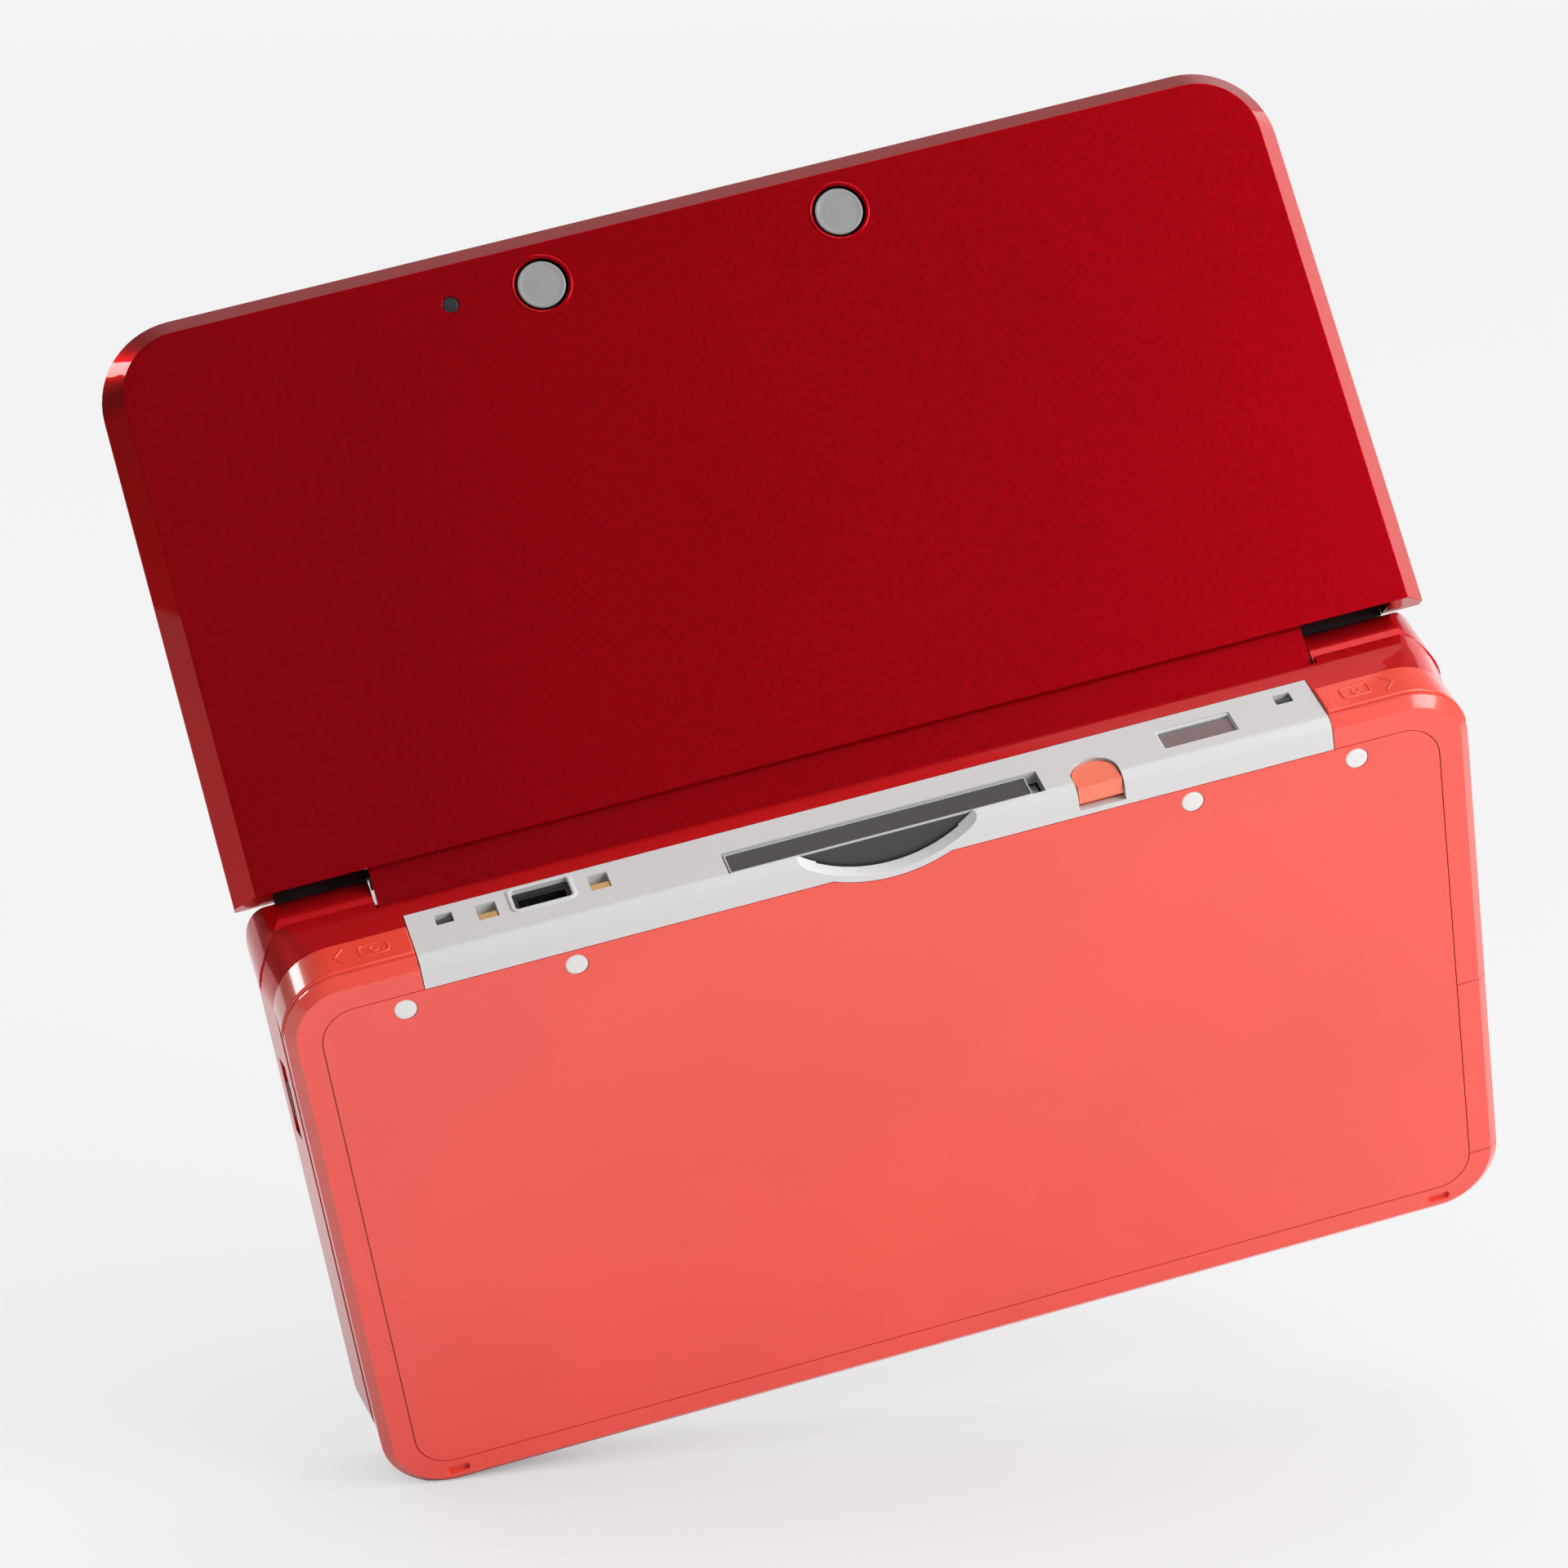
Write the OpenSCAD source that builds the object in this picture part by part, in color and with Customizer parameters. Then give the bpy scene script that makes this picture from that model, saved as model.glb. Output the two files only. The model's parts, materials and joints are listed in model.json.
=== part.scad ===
// Clamshell handheld game console, lid open.
// +Z up, +X to the player's right, +Y to the rear. The underside of the battery cover lies on z = 0.

/* [Case] */
// Width of the lower case between its side walls
case_w = 131.2; // [128:0.2:140]
// Distance from the middle of the case to its front wall
case_front = 34; // [33:0.5:38]
// Distance from the middle of the case to its rear wall
case_rear = 36.8; // [36:0.2:40]
// Height of the deck that carries the controls
deck_z = 12.5; // [12.5:0.1:14]
// Height of the seam between the lower and the upper case
seam_z = 6.6; // [6.4:0.1:7]
// Width and height of the bevel round the underside
edge = 1.08; // [0.8:0.02:1.3]
// How far the deck edge stands out past the lower case
flare = 0.92; // [0.6:0.02:1.1]
// Plan radius of the front corners at the underside
corner_front = 6.4; // [5:0.1:8]
// Plan radius of the rear corners at the underside
corner_rear = 5.6; // [5:0.1:6]
// Thickness of the case walls
wall = 1.5; // [1.2:0.1:1.6]
// Thickness of the deck plate
deck_t = 1.2; // [1:0.1:1.4]

/* [Battery cover] */
// Width of the rim beside the battery cover, bevel included
cover_rim_side = 3.7; // [3:0.1:5]
// Width of the rim in front of the battery cover
cover_rim_front = 2.5; // [2.4:0.1:4]
// Width of the rim behind the battery cover, bevel left out
cover_rim_rear = 2.65; // [2.4:0.05:3]
// Thickness of the battery cover
cover_t = 1; // [0.8:0.05:1.05]
// Corner radius of the battery cover
cover_r = 4; // [3:0.1:5]
// Radius of the cover screw heads
screw_head_r = 1.22; // [1:0.02:1.4]
// Distance of the outer cover screws from the side of the cover
screw_side = 9.25; // [8:0.05:11]
// Distance between the two cover screws of one side
screw_pitch = 18.55; // [17:0.05:20]

/* [Rear band] */
// Length of the shoulder button beside each end of the rear band
shoulder_l = 15.4; // [15.2:0.1:17]
// Height of the rear band
band_z = 8.7; // [8.5:0.05:9]
// Width of the game card slot
card_slot_w = 34.95; // [34.5:0.05:36]
// Height of the middle of the game card slot
card_slot_z = 3.1; // [3.1:0.05:3.3]
// Height of the game card slot
card_slot_h = 3.9; // [3.8:0.05:3.9]

/* [Lid] */
// How far the lid stands out past each side of the lower case
lid_side = 1.4; // [1.4:0.1:3]
// Distance from the middle of the case to the front edge of the lid
lid_front = 37; // [36.5:0.5:41]
// Height of the top of the closed lid
lid_top = 21; // [21:0.1:23]
// Gap between the deck and the closed lid
lid_gap = 0.3; // [0.2:0.05:0.5]
// Width of the bevel round the lid
lid_bevel_w = 2.45; // [1.5:0.05:3]
// Height of the bevel round the lid
lid_bevel_h = 3.7; // [2.5:0.1:3.8]
// Plan radius of the front corners of the lid
lid_corner = 9.4; // [7:0.1:12]
// Thickness of the lid frame
lid_frame_t = 2.6; // [2.4:0.1:2.8]

/* [Hinge] */
// Angle between the closed lid and the lid as shown
lid_open = 134.1; // [0:0.1:155]
// Radius of the case knuckles
knuckle_r = 4.29; // [4:0.01:4.4]
// Radius of the lid barrel
barrel_r = 4.45; // [4.2:0.01:4.5]
// Length of the knuckle beside each end of the lid barrel
knuckle_l = 13.3; // [12.6:0.1:15]
// Radius of the hinge pins
pin_r = 1.5; // [1.2:0.05:1.8]

/* [Screens] */
// Width of the touch panel
touch_w = 65; // [62:0.5:67]
// Depth of the touch panel
touch_d = 49; // [48:0.5:50]
// Width of the upper screen module
upper_screen_w = 82; // [78:0.5:84]
// Depth of the upper screen module
upper_screen_d = 49; // [47:0.5:49]

/* [Controls] */
// Radius of the circle pad cap
pad_r = 8.6; // [8:0.1:9]
// Travel of the circle pad to each side
pad_travel = 1.6; // [1.2:0.1:1.8]
// Width of the cross of the D-pad over its arms
dpad_w = 20; // [18:0.2:21]
// Width of one arm of the D-pad
dpad_arm = 6.8; // [6:0.1:7.4]
// Tilt of the D-pad to each side, in degrees
dpad_tilt = 3; // [2:0.5:3.5]
// Radius of the four face buttons
face_r = 3.7; // [3.4:0.05:3.9]
// Distance of the face buttons from the middle of their cluster
face_pitch = 7.6; // [7.4:0.1:8]
// Travel of the buttons
press = 0.6; // [0.4:0.05:0.7]
// Width of one system button
system_w = 13; // [11:0.5:14]
// Radius of the power button
power_r = 2.8; // [2.4:0.1:3.2]

/* [Game card and stylus] */
// Width of the game card
card_w = 33.4; // [33:0.1:34]
// Length of the game card
card_l = 35; // [33:0.5:36]
// Thickness of the game card
card_t = 3.5; // [3.2:0.05:3.6]
// Width of the stylus
stylus_w = 4.9; // [4.6:0.05:5.1]
// Length of the stylus
stylus_l = 57; // [50:0.5:60]

/* [Fits] */
// Seam between outer case parts
seam = 0.1; // [0.06:0.01:0.14]
// Clearance round a sliding or pressing part
play = 0.15; // [0.1:0.01:0.2]
// Radial running clearance of a pin in its bore
run = 0.05; // [0.02:0.01:0.08]
// Gap between a held inner part and its seat
rest = 0.2; // [0.1:0.05:0.3]

/* [Hidden] */
$fn = 96;
over = 50;

// Outline of the underside: every other outline of the case is this one grown by a margin
flat_hw = case_w / 2 - edge;
flat_front = -(case_front - edge);
flat_rear = case_rear - edge;
deck_g = edge + flare;
upper_g = edge + 0.12;
cavity_g = edge - wall;
edge_h = 1;
cavity_hw = flat_hw + cavity_g;
deck_under = deck_z - deck_t;

// Battery cover and the tray above it
cover_front = flat_front + cover_rim_front;
cover_rear = flat_rear - cover_rim_rear;
cover_x = case_w / 2 - cover_rim_side;
tray_z = cover_t + seam;
tray_t = 1;
tray_top = tray_z + tray_t;
screw_y = cover_rear - 1.85;
screw_out = cover_x - screw_side;
screw_x = [-screw_out, screw_pitch - screw_out, screw_out - screw_pitch, screw_out];
screw_shank_r = 0.7;
boss_r = 1.7;
boss_top = 4.2;

// Rear band
band_x = case_w / 2 - shoulder_l;
band_wall = 1.5;
band_foot = cover_t;
band_round = 1.4;
band_in = case_rear - band_wall;

// Layers inside the case
board_z = seam_z + 0.4;
board_t = 0.8;
board_top = board_z + board_t;
board_x = cavity_hw - 3.1;
board_front = flat_front + 2.6;
board_rear = 26;
membrane_t = 0.5;
flange_t = 0.7;
flange_z = deck_under - flange_t - rest;
cap_top = deck_z + 0.55;
dpad_pivot_z = board_top + 1;
dpad_flange_r = dpad_w / 2 + 0.2;
dpad_flange_z = flange_z - dpad_flange_r * sin(dpad_tilt) - 0.05;
dpad_play = play + (cap_top - board_top) * sin(dpad_tilt) / 2;
dome_top = flange_z - press - 0.1;
screen_z = board_top + 0.3;

// Hinge
hinge_y = case_rear - knuckle_r;
hinge_z = (deck_z + lid_gap + lid_top) / 2 - 1.45;
recess_r = barrel_r + 1.55;
recess_wall = 1;
barrel_x = case_w / 2 - knuckle_l;
recess_x = barrel_x + 0.3;
lid_rear = hinge_y - barrel_r - 0.06;
pin_out = flat_hw - 4.52;
pin_in = barrel_x - 8.3;

// Lid, in its closed place
lid_under = deck_z + lid_gap;
lid_seam = lid_under + lid_frame_t;
lid_edge_z = lid_top - lid_bevel_h;
lid_hw = case_w / 2 + lid_side;
lid_flat_hw = lid_hw - lid_bevel_w;
lid_flat_front = -(lid_front - lid_bevel_w);
lid_flat_r = lid_corner - lid_bevel_w;
frame_inset = 0.8;
lid_wall = 1.2;
lid_roof = lid_top - lid_wall;
cheek_x = lid_hw - 4.4;
hollow_r = norm([hinge_y - lid_rear, lid_roof - hinge_z]) + 0.65;
rim_w = 2.6;
panel_z = lid_under + 0.9;
panel_t = 0.8;
plate_z = panel_z + panel_t + seam;
panel_hw = lid_hw - frame_inset - rim_w;
panel_front = -(lid_front - frame_inset - rim_w);
panel_rear = lid_rear - 2.4;
panel_r = lid_corner - frame_inset - rim_w;
tongue_z0 = lid_seam + 0.1;
tongue_z1 = lid_edge_z + 0.2;
upper_screen_y = -1;
upper_screen_t = 2.4;
speaker_x = lid_hw - 14;
speaker_y = -15;
depth_x = lid_hw - 7.5;
depth_y = 6;
depth_travel = 4;
lens_y = lid_flat_front + 4.63;
lens_x = [-16.38, 17.45];
lens_r = 2.64;
lens_groove = 0.35;
sensor_x = 27.65;
sensor_r = 0.9;

// Places of the controls
touch_y = 0;
control_x = (flat_hw + deck_g + touch_w / 2) / 2 + 0.5;
pad_y = 11;
dpad_y = -13;
face_y = 6;
power_y = -22;
pad_hole_r = pad_r + sqrt(2) * pad_travel + play;
pad_stem_r = 3;
pad_foot = 8;
system_x = 19;
system_y = flat_front + 4.6;
system_d = 4.2;

// Side controls and lights
side_z = (seam_z + deck_z) / 2;
side_h = 1.8;
knob_l = 4;
volume_y = 8;
volume_travel = 4;
wireless_y = 16.7;
wireless_travel = 2.9;
led_x = [flat_hw - 18.52, flat_hw - 12.52];
led_w = 2.4;
led_z = side_z;
notice_x = flat_hw - 4.52;

// Shoulder buttons
shoulder_x = band_x + 0.12;
shoulder_z0 = 1.5;
shoulder_z1 = seam_z - seam;
shoulder_proud = 0.25;
shoulder_deep = 2.7;
shoulder_y = flat_rear - corner_rear + 0.9;
shoulder_pin_x = shoulder_x + 2;
shoulder_pin_y = case_rear - 1.6;
shoulder_pin_r = 0.6;

// Rear slots, from the player's right to the left
strap_x = [band_x - 3.95, 3.3 - band_x];
strap_w = 1.9;
strap_z0 = 5.5;
strap_h = 1.8;
strap_bar_r = 0.42;
strap_bar_y = case_rear - strap_bar_r - 0.2;
strap_bar_z = strap_z0 + 1;
port_x = band_x - 14.5;
contact_x = [port_x + 6, port_x - 6.2];
contact_w = 2.2;
contact_z0 = 4.4;
contact_h = 2.75;
port_w = 6.2;
port_z0 = 4.5;
port_h = 3.5;
port_depth = 8;
card_slot_x = -1.1;
card_x = -0.5;
card_back = case_rear - 0.25;
card_z = card_slot_z - card_t / 2;
scoop_x = -0.8;
scoop_y = case_rear + 11.15;
scoop_r = 15.4;
scoop_slope = 0.55;
bulge_r = scoop_r + 0.85;
reader_wall = 1;
reader_gap = 1;
reader_end = 0.5;
reader_front = card_back - card_l - reader_gap - reader_end;
stylus_x = card_slot_x - card_slot_w / 2 - stylus_w / 2 - 3.275;
stylus_z = 0.35;
stylus_h = 4.3;
stylus_body_z = cover_t + rest;
stylus_foot = cover_rear + 1.4;
stylus_back = case_rear - 0.3;
ir_x = (stylus_x + strap_x[1]) / 2 - 1;
ir_w = 8.4;
ir_z0 = 2.93;
ir_h = 3.7;

// Memory card door and reader on the player's left
sd_y0 = -26.7;
sd_y1 = -2.6;
sd_card_w = 22.4;
sd_card_l = 32;
sd_card_t = 2.1;
sd_z = 3.2;
sd_in = cover_x + seam;
sd_door_t = 1.2;

// Battery and sockets
battery_l = 54;
battery_x1 = board_x - 9;
battery_x0 = battery_x1 - battery_l;
battery_front = cover_front + 1;
battery_rear = reader_front - 1;
battery_top = board_z - 0.3;
wireless_w = 26;
wireless_d = 19;
jack_x = -12;
jack_r = 1.8;
jack_z = 4.1;
jack_body = 5.4;
jack_l = 12.5;
standoff_x = board_x - 4;
standoff = [[standoff_x, flat_front + 6], [standoff_x, board_rear - 3],
    [-standoff_x, board_rear - 2.5], [-31, flat_front + 4]];
standoff_r = 1.8;
notch_x = flat_hw - 6.62;
notch_w = 2.6;
notch_d = 1;

// ---------- shared shapes ----------

// Rounded plate from z0 to z1. Its outline lies g0 outside the given one at z0 and g1 at z1.
module plate(hw, front, rear, rf, rr, z0, z1, g0, g1) {
    middle = (front + rear) / 2;
    span = rear - rr - front - rf;
    translate([0, rear - rr, 0]) rotate([90, 0, 0]) linear_extrude(span)
        polygon([[-hw - g0, z0], [hw + g0, z0], [hw + g1, z1], [-hw - g1, z1]]);
    translate([rf - hw, 0, 0]) rotate([90, 0, 90]) linear_extrude(2 * (hw - rf))
        polygon([[front - g0, z0], [middle, z0], [middle, z1], [front - g1, z1]]);
    translate([rr - hw, 0, 0]) rotate([90, 0, 90]) linear_extrude(2 * (hw - rr))
        polygon([[middle, z0], [rear + g0, z0], [rear + g1, z1], [middle, z1]]);
    for (side = [-1, 1]) {
        translate([side * (hw - rf), front + rf, z0]) cylinder(h = z1 - z0, r1 = rf + g0, r2 = rf + g1);
        translate([side * (hw - rr), rear - rr, z0]) cylinder(h = z1 - z0, r1 = rr + g0, r2 = rr + g1);
    }
}

// Layer of the case between two heights
module case_layer(z0, z1, g0, g1) {
    plate(flat_hw, flat_front, flat_rear, corner_front, corner_rear, z0, z1, g0, g1);
}

// Box between two corners
module block(low, high) {
    translate(low) cube(high - low);
}

// Flat rounded rectangle between two corners
module round_rect(x0, y0, x1, y1, r) {
    translate([x0 + r, y0]) square([x1 - x0 - 2 * r, y1 - y0]);
    translate([x0, y0 + r]) square([x1 - x0, y1 - y0 - 2 * r]);
    for (x = [x0 + r, x1 - r], y = [y0 + r, y1 - r]) translate([x, y]) circle(r);
}

// Rounded rectangle of a given width and depth about a centre, between two heights
module pill(x, y, w, d, r, z0, z1) {
    translate([0, 0, z0]) linear_extrude(z1 - z0) round_rect(x - w / 2, y - d / 2, x + w / 2, y + d / 2, r);
}

// Upright cylinder at x and y
module post(x, y, z0, z1, r) {
    translate([x, y, z0]) cylinder(h = z1 - z0, r = r);
}

// Cylinder along Y, between y0 and y1
module bar_y(x, z, y0, y1, r) {
    translate([x, y0, z]) rotate([-90, 0, 0]) cylinder(h = y1 - y0, r = r);
}

// Cylinder along X, between x0 and x1
module bar_x(y, z, x0, x1, r) {
    translate([x0, y, z]) rotate([0, 90, 0]) cylinder(h = x1 - x0, r = r);
}

// Flat outline of the D-pad cross, grown by a margin
module cross(grow) {
    long = dpad_w + 2 * grow;
    short = dpad_arm + 2 * grow;
    round_rect(-long / 2, -short / 2, long / 2, short / 2, 1.2);
    round_rect(-short / 2, -long / 2, short / 2, long / 2, 1.2);
}

// Puts a piece of the closed lid where the open lid carries it
module on_lid() {
    translate([0, hinge_y, hinge_z]) rotate([-lid_open, 0, 0]) translate([0, -hinge_y, -hinge_z])
        children();
}

// ---------- lower case ----------

module cover_outline(grow) {
    round_rect(-cover_x - grow, cover_front - grow, cover_x + grow, cover_rear + grow, cover_r + grow);
}

// Ring sector at a rear corner that a shoulder button or its pocket fills
module corner_ring(side, g_in, g_out, z0, z1, x_in, y_in) {
    intersection() {
        difference() {
            case_layer(z0, z1, g_out, g_out);
            case_layer(z0 - 1, z1 + 1, g_in, g_in);
        }
        translate([side > 0 ? x_in : -x_in - over, y_in, z0 - 1]) cube([over, over, z1 - z0 + 2]);
    }
}

module bottom_shell() {
    color([0.93, 0.42, 0.37]) difference() {
        union() {
            difference() {
                union() {
                    case_layer(0, edge_h, 0, edge);
                    case_layer(edge_h, seam_z - seam, edge, edge);
                }
                case_layer(tray_top, seam_z + 1, cavity_g, cavity_g);
                for (side = [-1, 1])
                    corner_ring(side, -shoulder_deep, 5, shoulder_z0 - seam, seam_z + 1,
                        shoulder_x - seam, shoulder_y - 0.9);
            }
            for (side = [-1, 1])
                post(side * shoulder_pin_x, shoulder_pin_y, 0.5, shoulder_z1, shoulder_pin_r);
            for (x = screw_x) post(x, screw_y, tray_z, boss_top, boss_r);
            for (p = standoff) post(p[0], p[1], tray_z, board_z, standoff_r);
        }
        // seat of the battery cover
        translate([0, 0, -1]) linear_extrude(tray_z + 1) cover_outline(seam);
        // seat of the rear band
        block([-band_x - seam, cover_rear, -1], [band_x + seam, case_rear + 1, tray_z]);
        block([-band_x - seam, band_in - seam, -1], [band_x + seam, case_rear + 1, seam_z + 1]);
        // ways for the game card, the stylus, the battery and the memory card
        block([card_x - card_w / 2 - reader_wall - 2 * rest, reader_front - rest, 0],
            [card_x + card_w / 2 + reader_wall + 2 * rest, case_rear + 1, seam_z + 1]);
        block([stylus_x - stylus_w / 2 - play, case_rear - stylus_l - 1, 0],
            [stylus_x + stylus_w / 2 + play, case_rear + 1, tray_top + 1]);
        block([battery_x0 - rest, battery_front - rest, 0],
            [battery_x1 + rest, battery_rear + rest, seam_z]);
        block([-over - cover_x, sd_y0 - seam, -1], [-sd_in, sd_y1 + seam, seam_z + 1]);
        // screw pilots
        for (x = screw_x) post(x, screw_y, -1, boss_top - 0.6, screw_shank_r + 0.02);
        for (p = standoff) post(p[0], p[1], tray_top, board_z + 1, screw_shank_r + 0.02);
        // headphone socket and the two thumb notches at the front
        bar_y(jack_x, jack_z, flat_front - over, flat_front + 3, jack_r + 0.5);
        for (x = [-notch_x, notch_x])
            pill(x, flat_front + 0.6 + notch_d / 2, notch_w, notch_d, 0.4, -1, 0.5);
    }
}

module battery_cover() {
    color([0.95, 0.45, 0.39]) difference() {
        linear_extrude(cover_t) cover_outline(0);
        post(scoop_x, scoop_y, -1, cover_t + 1, bulge_r);
        for (x = screw_x) {
            post(x, screw_y, -1, 0.6, screw_head_r + 0.05);
            post(x, screw_y, 0, cover_t + 1, screw_shank_r + 0.05);
        }
    }
}

module cover_screws() {
    color([0.9, 0.9, 0.9]) for (x = screw_x) difference() {
        union() {
            post(x, screw_y, 0.02, 0.55, screw_head_r);
            post(x, screw_y, 0.5, boss_top - 0.9, screw_shank_r);
        }
        for (turn = [45, 135]) translate([x, screw_y, 0]) rotate([0, 0, turn])
            cube([1.3, 0.3, 0.5], center = true);
    }
}

module rear_band() {
    color([0.86, 0.86, 0.86]) difference() {
        union() {
            translate([-band_x, 0, 0]) rotate([90, 0, 90]) linear_extrude(2 * band_x) union() {
                translate([cover_rear + seam, 0])
                    square([case_rear - band_round - cover_rear - seam, band_foot]);
                translate([band_in, band_round]) square([band_wall, band_z - band_round]);
                intersection() {
                    translate([case_rear - band_round, band_round]) circle(band_round);
                    translate([case_rear - band_round, 0]) square(band_round);
                }
            }
            // bulge of the band into the battery cover
            intersection() {
                post(scoop_x, scoop_y, 0, band_foot, bulge_r - seam);
                block([-band_x, 0, 0], [band_x, cover_rear + 1, band_foot]);
            }
        }
        // card slot, with the finger scoop under it
        block([card_slot_x - card_slot_w / 2, cover_rear, card_slot_z - card_slot_h / 2],
            [card_slot_x + card_slot_w / 2, case_rear + 1, card_slot_z + card_slot_h / 2]);
        translate([scoop_x, scoop_y, 0])
            cylinder(h = card_slot_z, r1 = scoop_r, r2 = scoop_r - scoop_slope * card_slot_z);
        post(scoop_x, scoop_y, -1, 0, scoop_r);
        // stylus way, open below
        block([stylus_x - stylus_w / 2 - play, stylus_foot - 0.65, -1],
            [stylus_x + stylus_w / 2 + play, case_rear + 1, stylus_z + stylus_h - stylus_w / 2]);
        intersection() {
            bar_y(stylus_x, stylus_z + stylus_h - stylus_w / 2, cover_rear, case_rear + 1,
                stylus_w / 2 + play);
            block([-over, 0, band_foot], [over, over, over]);
        }
        // infrared window, charge port, contacts and strap eyes
        block([ir_x - ir_w / 2, band_in - 1, ir_z0], [ir_x + ir_w / 2, case_rear + 1, ir_z0 + ir_h]);
        block([port_x - port_w / 2, band_in - 1, port_z0],
            [port_x + port_w / 2, case_rear + 1, port_z0 + port_h]);
        for (x = contact_x)
            block([x - contact_w / 2, band_in - 1, contact_z0],
                [x + contact_w / 2, case_rear + 1, contact_z0 + contact_h]);
        for (x = strap_x) {
            block([x - strap_w / 2, band_in - 1, strap_z0],
                [x + strap_w / 2, case_rear + 1, strap_z0 + strap_h]);
            bar_x(strap_bar_y, strap_bar_z, x - strap_w / 2 - 0.9, x + strap_w / 2 + 0.9, strap_bar_r + 0.02);
        }
    }
}

// ---------- upper case ----------

module deck_holes() {
    low = deck_under - 1;
    high = deck_z + 1;
    pill(0, touch_y, touch_w, touch_d, 1.5, low, high);
    post(-control_x, pad_y, low, high, pad_hole_r);
    translate([-control_x, dpad_y, low]) linear_extrude(high - low) cross(dpad_play);
    for (turn = [0, 90, 180, 270])
        translate([control_x, face_y, 0]) rotate([0, 0, turn]) post(face_pitch, 0, low, high, face_r + play);
    for (x = [-system_x, 0, system_x])
        pill(x, system_y, system_w + 2 * play, system_d + 2 * play, 1.2, low, high);
    post(control_x, power_y, low, high, power_r + play);
}

module upper_shell() {
    color([0.72, 0.13, 0.15]) difference() {
        union() {
            intersection() {
                difference() {
                    case_layer(seam_z, deck_z, upper_g, deck_g);
                    case_layer(seam_z - 1, deck_under, cavity_g, cavity_g);
                }
                block([-over * 2, -over * 2, 0], [over * 2, case_rear, over]);
            }
            // trough under the lid barrel, and the knuckles at its ends
            intersection() {
                case_layer(seam_z, deck_z, upper_g - 0.3, upper_g - 0.3);
                bar_x(hinge_y, hinge_z, -recess_x - recess_wall, recess_x + recess_wall,
                    recess_r + recess_wall);
                block([-over * 2, -over * 2, 0], [over * 2, case_rear - 0.5, deck_z]);
            }
            intersection() {
                bar_x(hinge_y, hinge_z, -over * 2, over * 2, knuckle_r);
                case_layer(deck_under, lid_top, deck_g, deck_g);
            }
        }
        bar_x(hinge_y, hinge_z, -recess_x, recess_x, recess_r);
        block([-recess_x, hinge_y, hinge_z - 3.6], [recess_x, case_rear + 1, lid_top]);
        bar_x(hinge_y, hinge_z, -pin_out - 0.3, pin_out + 0.3, pin_r + 0.02);
        // the band reaches up into the rear wall
        block([-band_x - seam, band_in - seam, 0], [band_x + seam, case_rear + 1, band_z + seam]);
        deck_holes();
        // slots of the side controls
        block([-over * 2, volume_y - knob_l / 2 - volume_travel - play, side_z - side_h / 2 - play],
            [-cavity_hw + 1, volume_y + knob_l / 2 + volume_travel + play, side_z + side_h / 2 + play]);
        block([cavity_hw - 1, wireless_y - knob_l / 2 - wireless_travel - play, side_z - side_h / 2 - play],
            [over * 2, wireless_y + knob_l / 2 + wireless_travel + play, side_z + side_h / 2 + play]);
        // light windows
        for (x = led_x)
            block([x - led_w / 2 - 0.02, -over * 2, led_z - 0.52],
                [x + led_w / 2 + 0.02, flat_front + wall + 1, led_z + 0.52]);
        block([notice_x - 2.05, hinge_y - 2.05, hinge_z + knuckle_r - 1.2],
            [notice_x + 2.05, hinge_y + 2.05, lid_top]);
    }
}

module touch_panel() {
    color([0.08, 0.08, 0.1])
        pill(0, touch_y, touch_w - 2 * seam, touch_d - 2 * seam, 1.4, deck_z - 1.1, deck_z - 0.2);
}

module lower_screen() {
    color([0.15, 0.16, 0.18]) pill(0, touch_y, touch_w + 3, touch_d - 2 * seam, 0.5, screen_z, deck_z - 1.2);
}

module main_board() {
    color([0.1, 0.35, 0.2]) difference() {
        pill(0, (board_front + board_rear) / 2, 2 * board_x, board_rear - board_front, 2,
            board_z, board_top);
        for (p = standoff) post(p[0], p[1], 0, board_top + 1, screw_shank_r + 0.1);
    }
}

module board_screws() {
    color([0.75, 0.75, 0.78]) for (p = standoff) {
        post(p[0], p[1], board_top, board_top + 0.6, 1.4);
        post(p[0], p[1], tray_top + 0.5, board_top + 0.1, screw_shank_r);
    }
}

module battery_pack() {
    color([0.85, 0.83, 0.78])
        pill((battery_x0 + battery_x1) / 2, (battery_front + battery_rear) / 2, battery_x1 - battery_x0,
            battery_rear - battery_front, 1, cover_t + rest, battery_top);
}

module wireless_board() {
    back = board_rear - 4;
    out = battery_x1 - 2;
    middle = tray_top + 1;
    color([0.2, 0.3, 0.25])
        block([out - wireless_w, back - wireless_d, tray_top + 0.1], [out, back, middle]);
    color([0.75, 0.76, 0.78])
        block([out - wireless_w + 2, back - wireless_d + 2, middle], [out - 4, back - 2, middle + 1.4]);
}

module card_reader() {
    low = card_z - 0.1;
    top = card_z + card_t + rest;
    half = card_w / 2 + rest;
    back = band_in - rest;
    color([0.7, 0.7, 0.72]) {
        for (side = [-1, 1])
            translate([card_x + (side > 0 ? half : -half - reader_wall), reader_front, low])
                cube([reader_wall, back - reader_front, top + 0.6 - low]);
        block([card_x - half, reader_front, top], [card_x + half, back, top + 0.6]);
        block([card_x - half, reader_front, low], [card_x + half, reader_front + reader_end, top]);
    }
}

module sd_reader() {
    y0 = (sd_y0 + sd_y1 - sd_card_w) / 2 - rest;
    y1 = (sd_y0 + sd_y1 + sd_card_w) / 2 + rest;
    out = sd_in + 0.6;
    in = out - sd_card_l - 0.6;
    color([0.68, 0.69, 0.71]) difference() {
        block([-out, y0 - 0.5, tray_top + 0.1], [-in, y1 + 0.5, sd_z + sd_card_t + rest + 0.5]);
        block([-out - 1, y0, sd_z - rest], [-in + 1, y1, sd_z + sd_card_t + rest]);
    }
}

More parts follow.
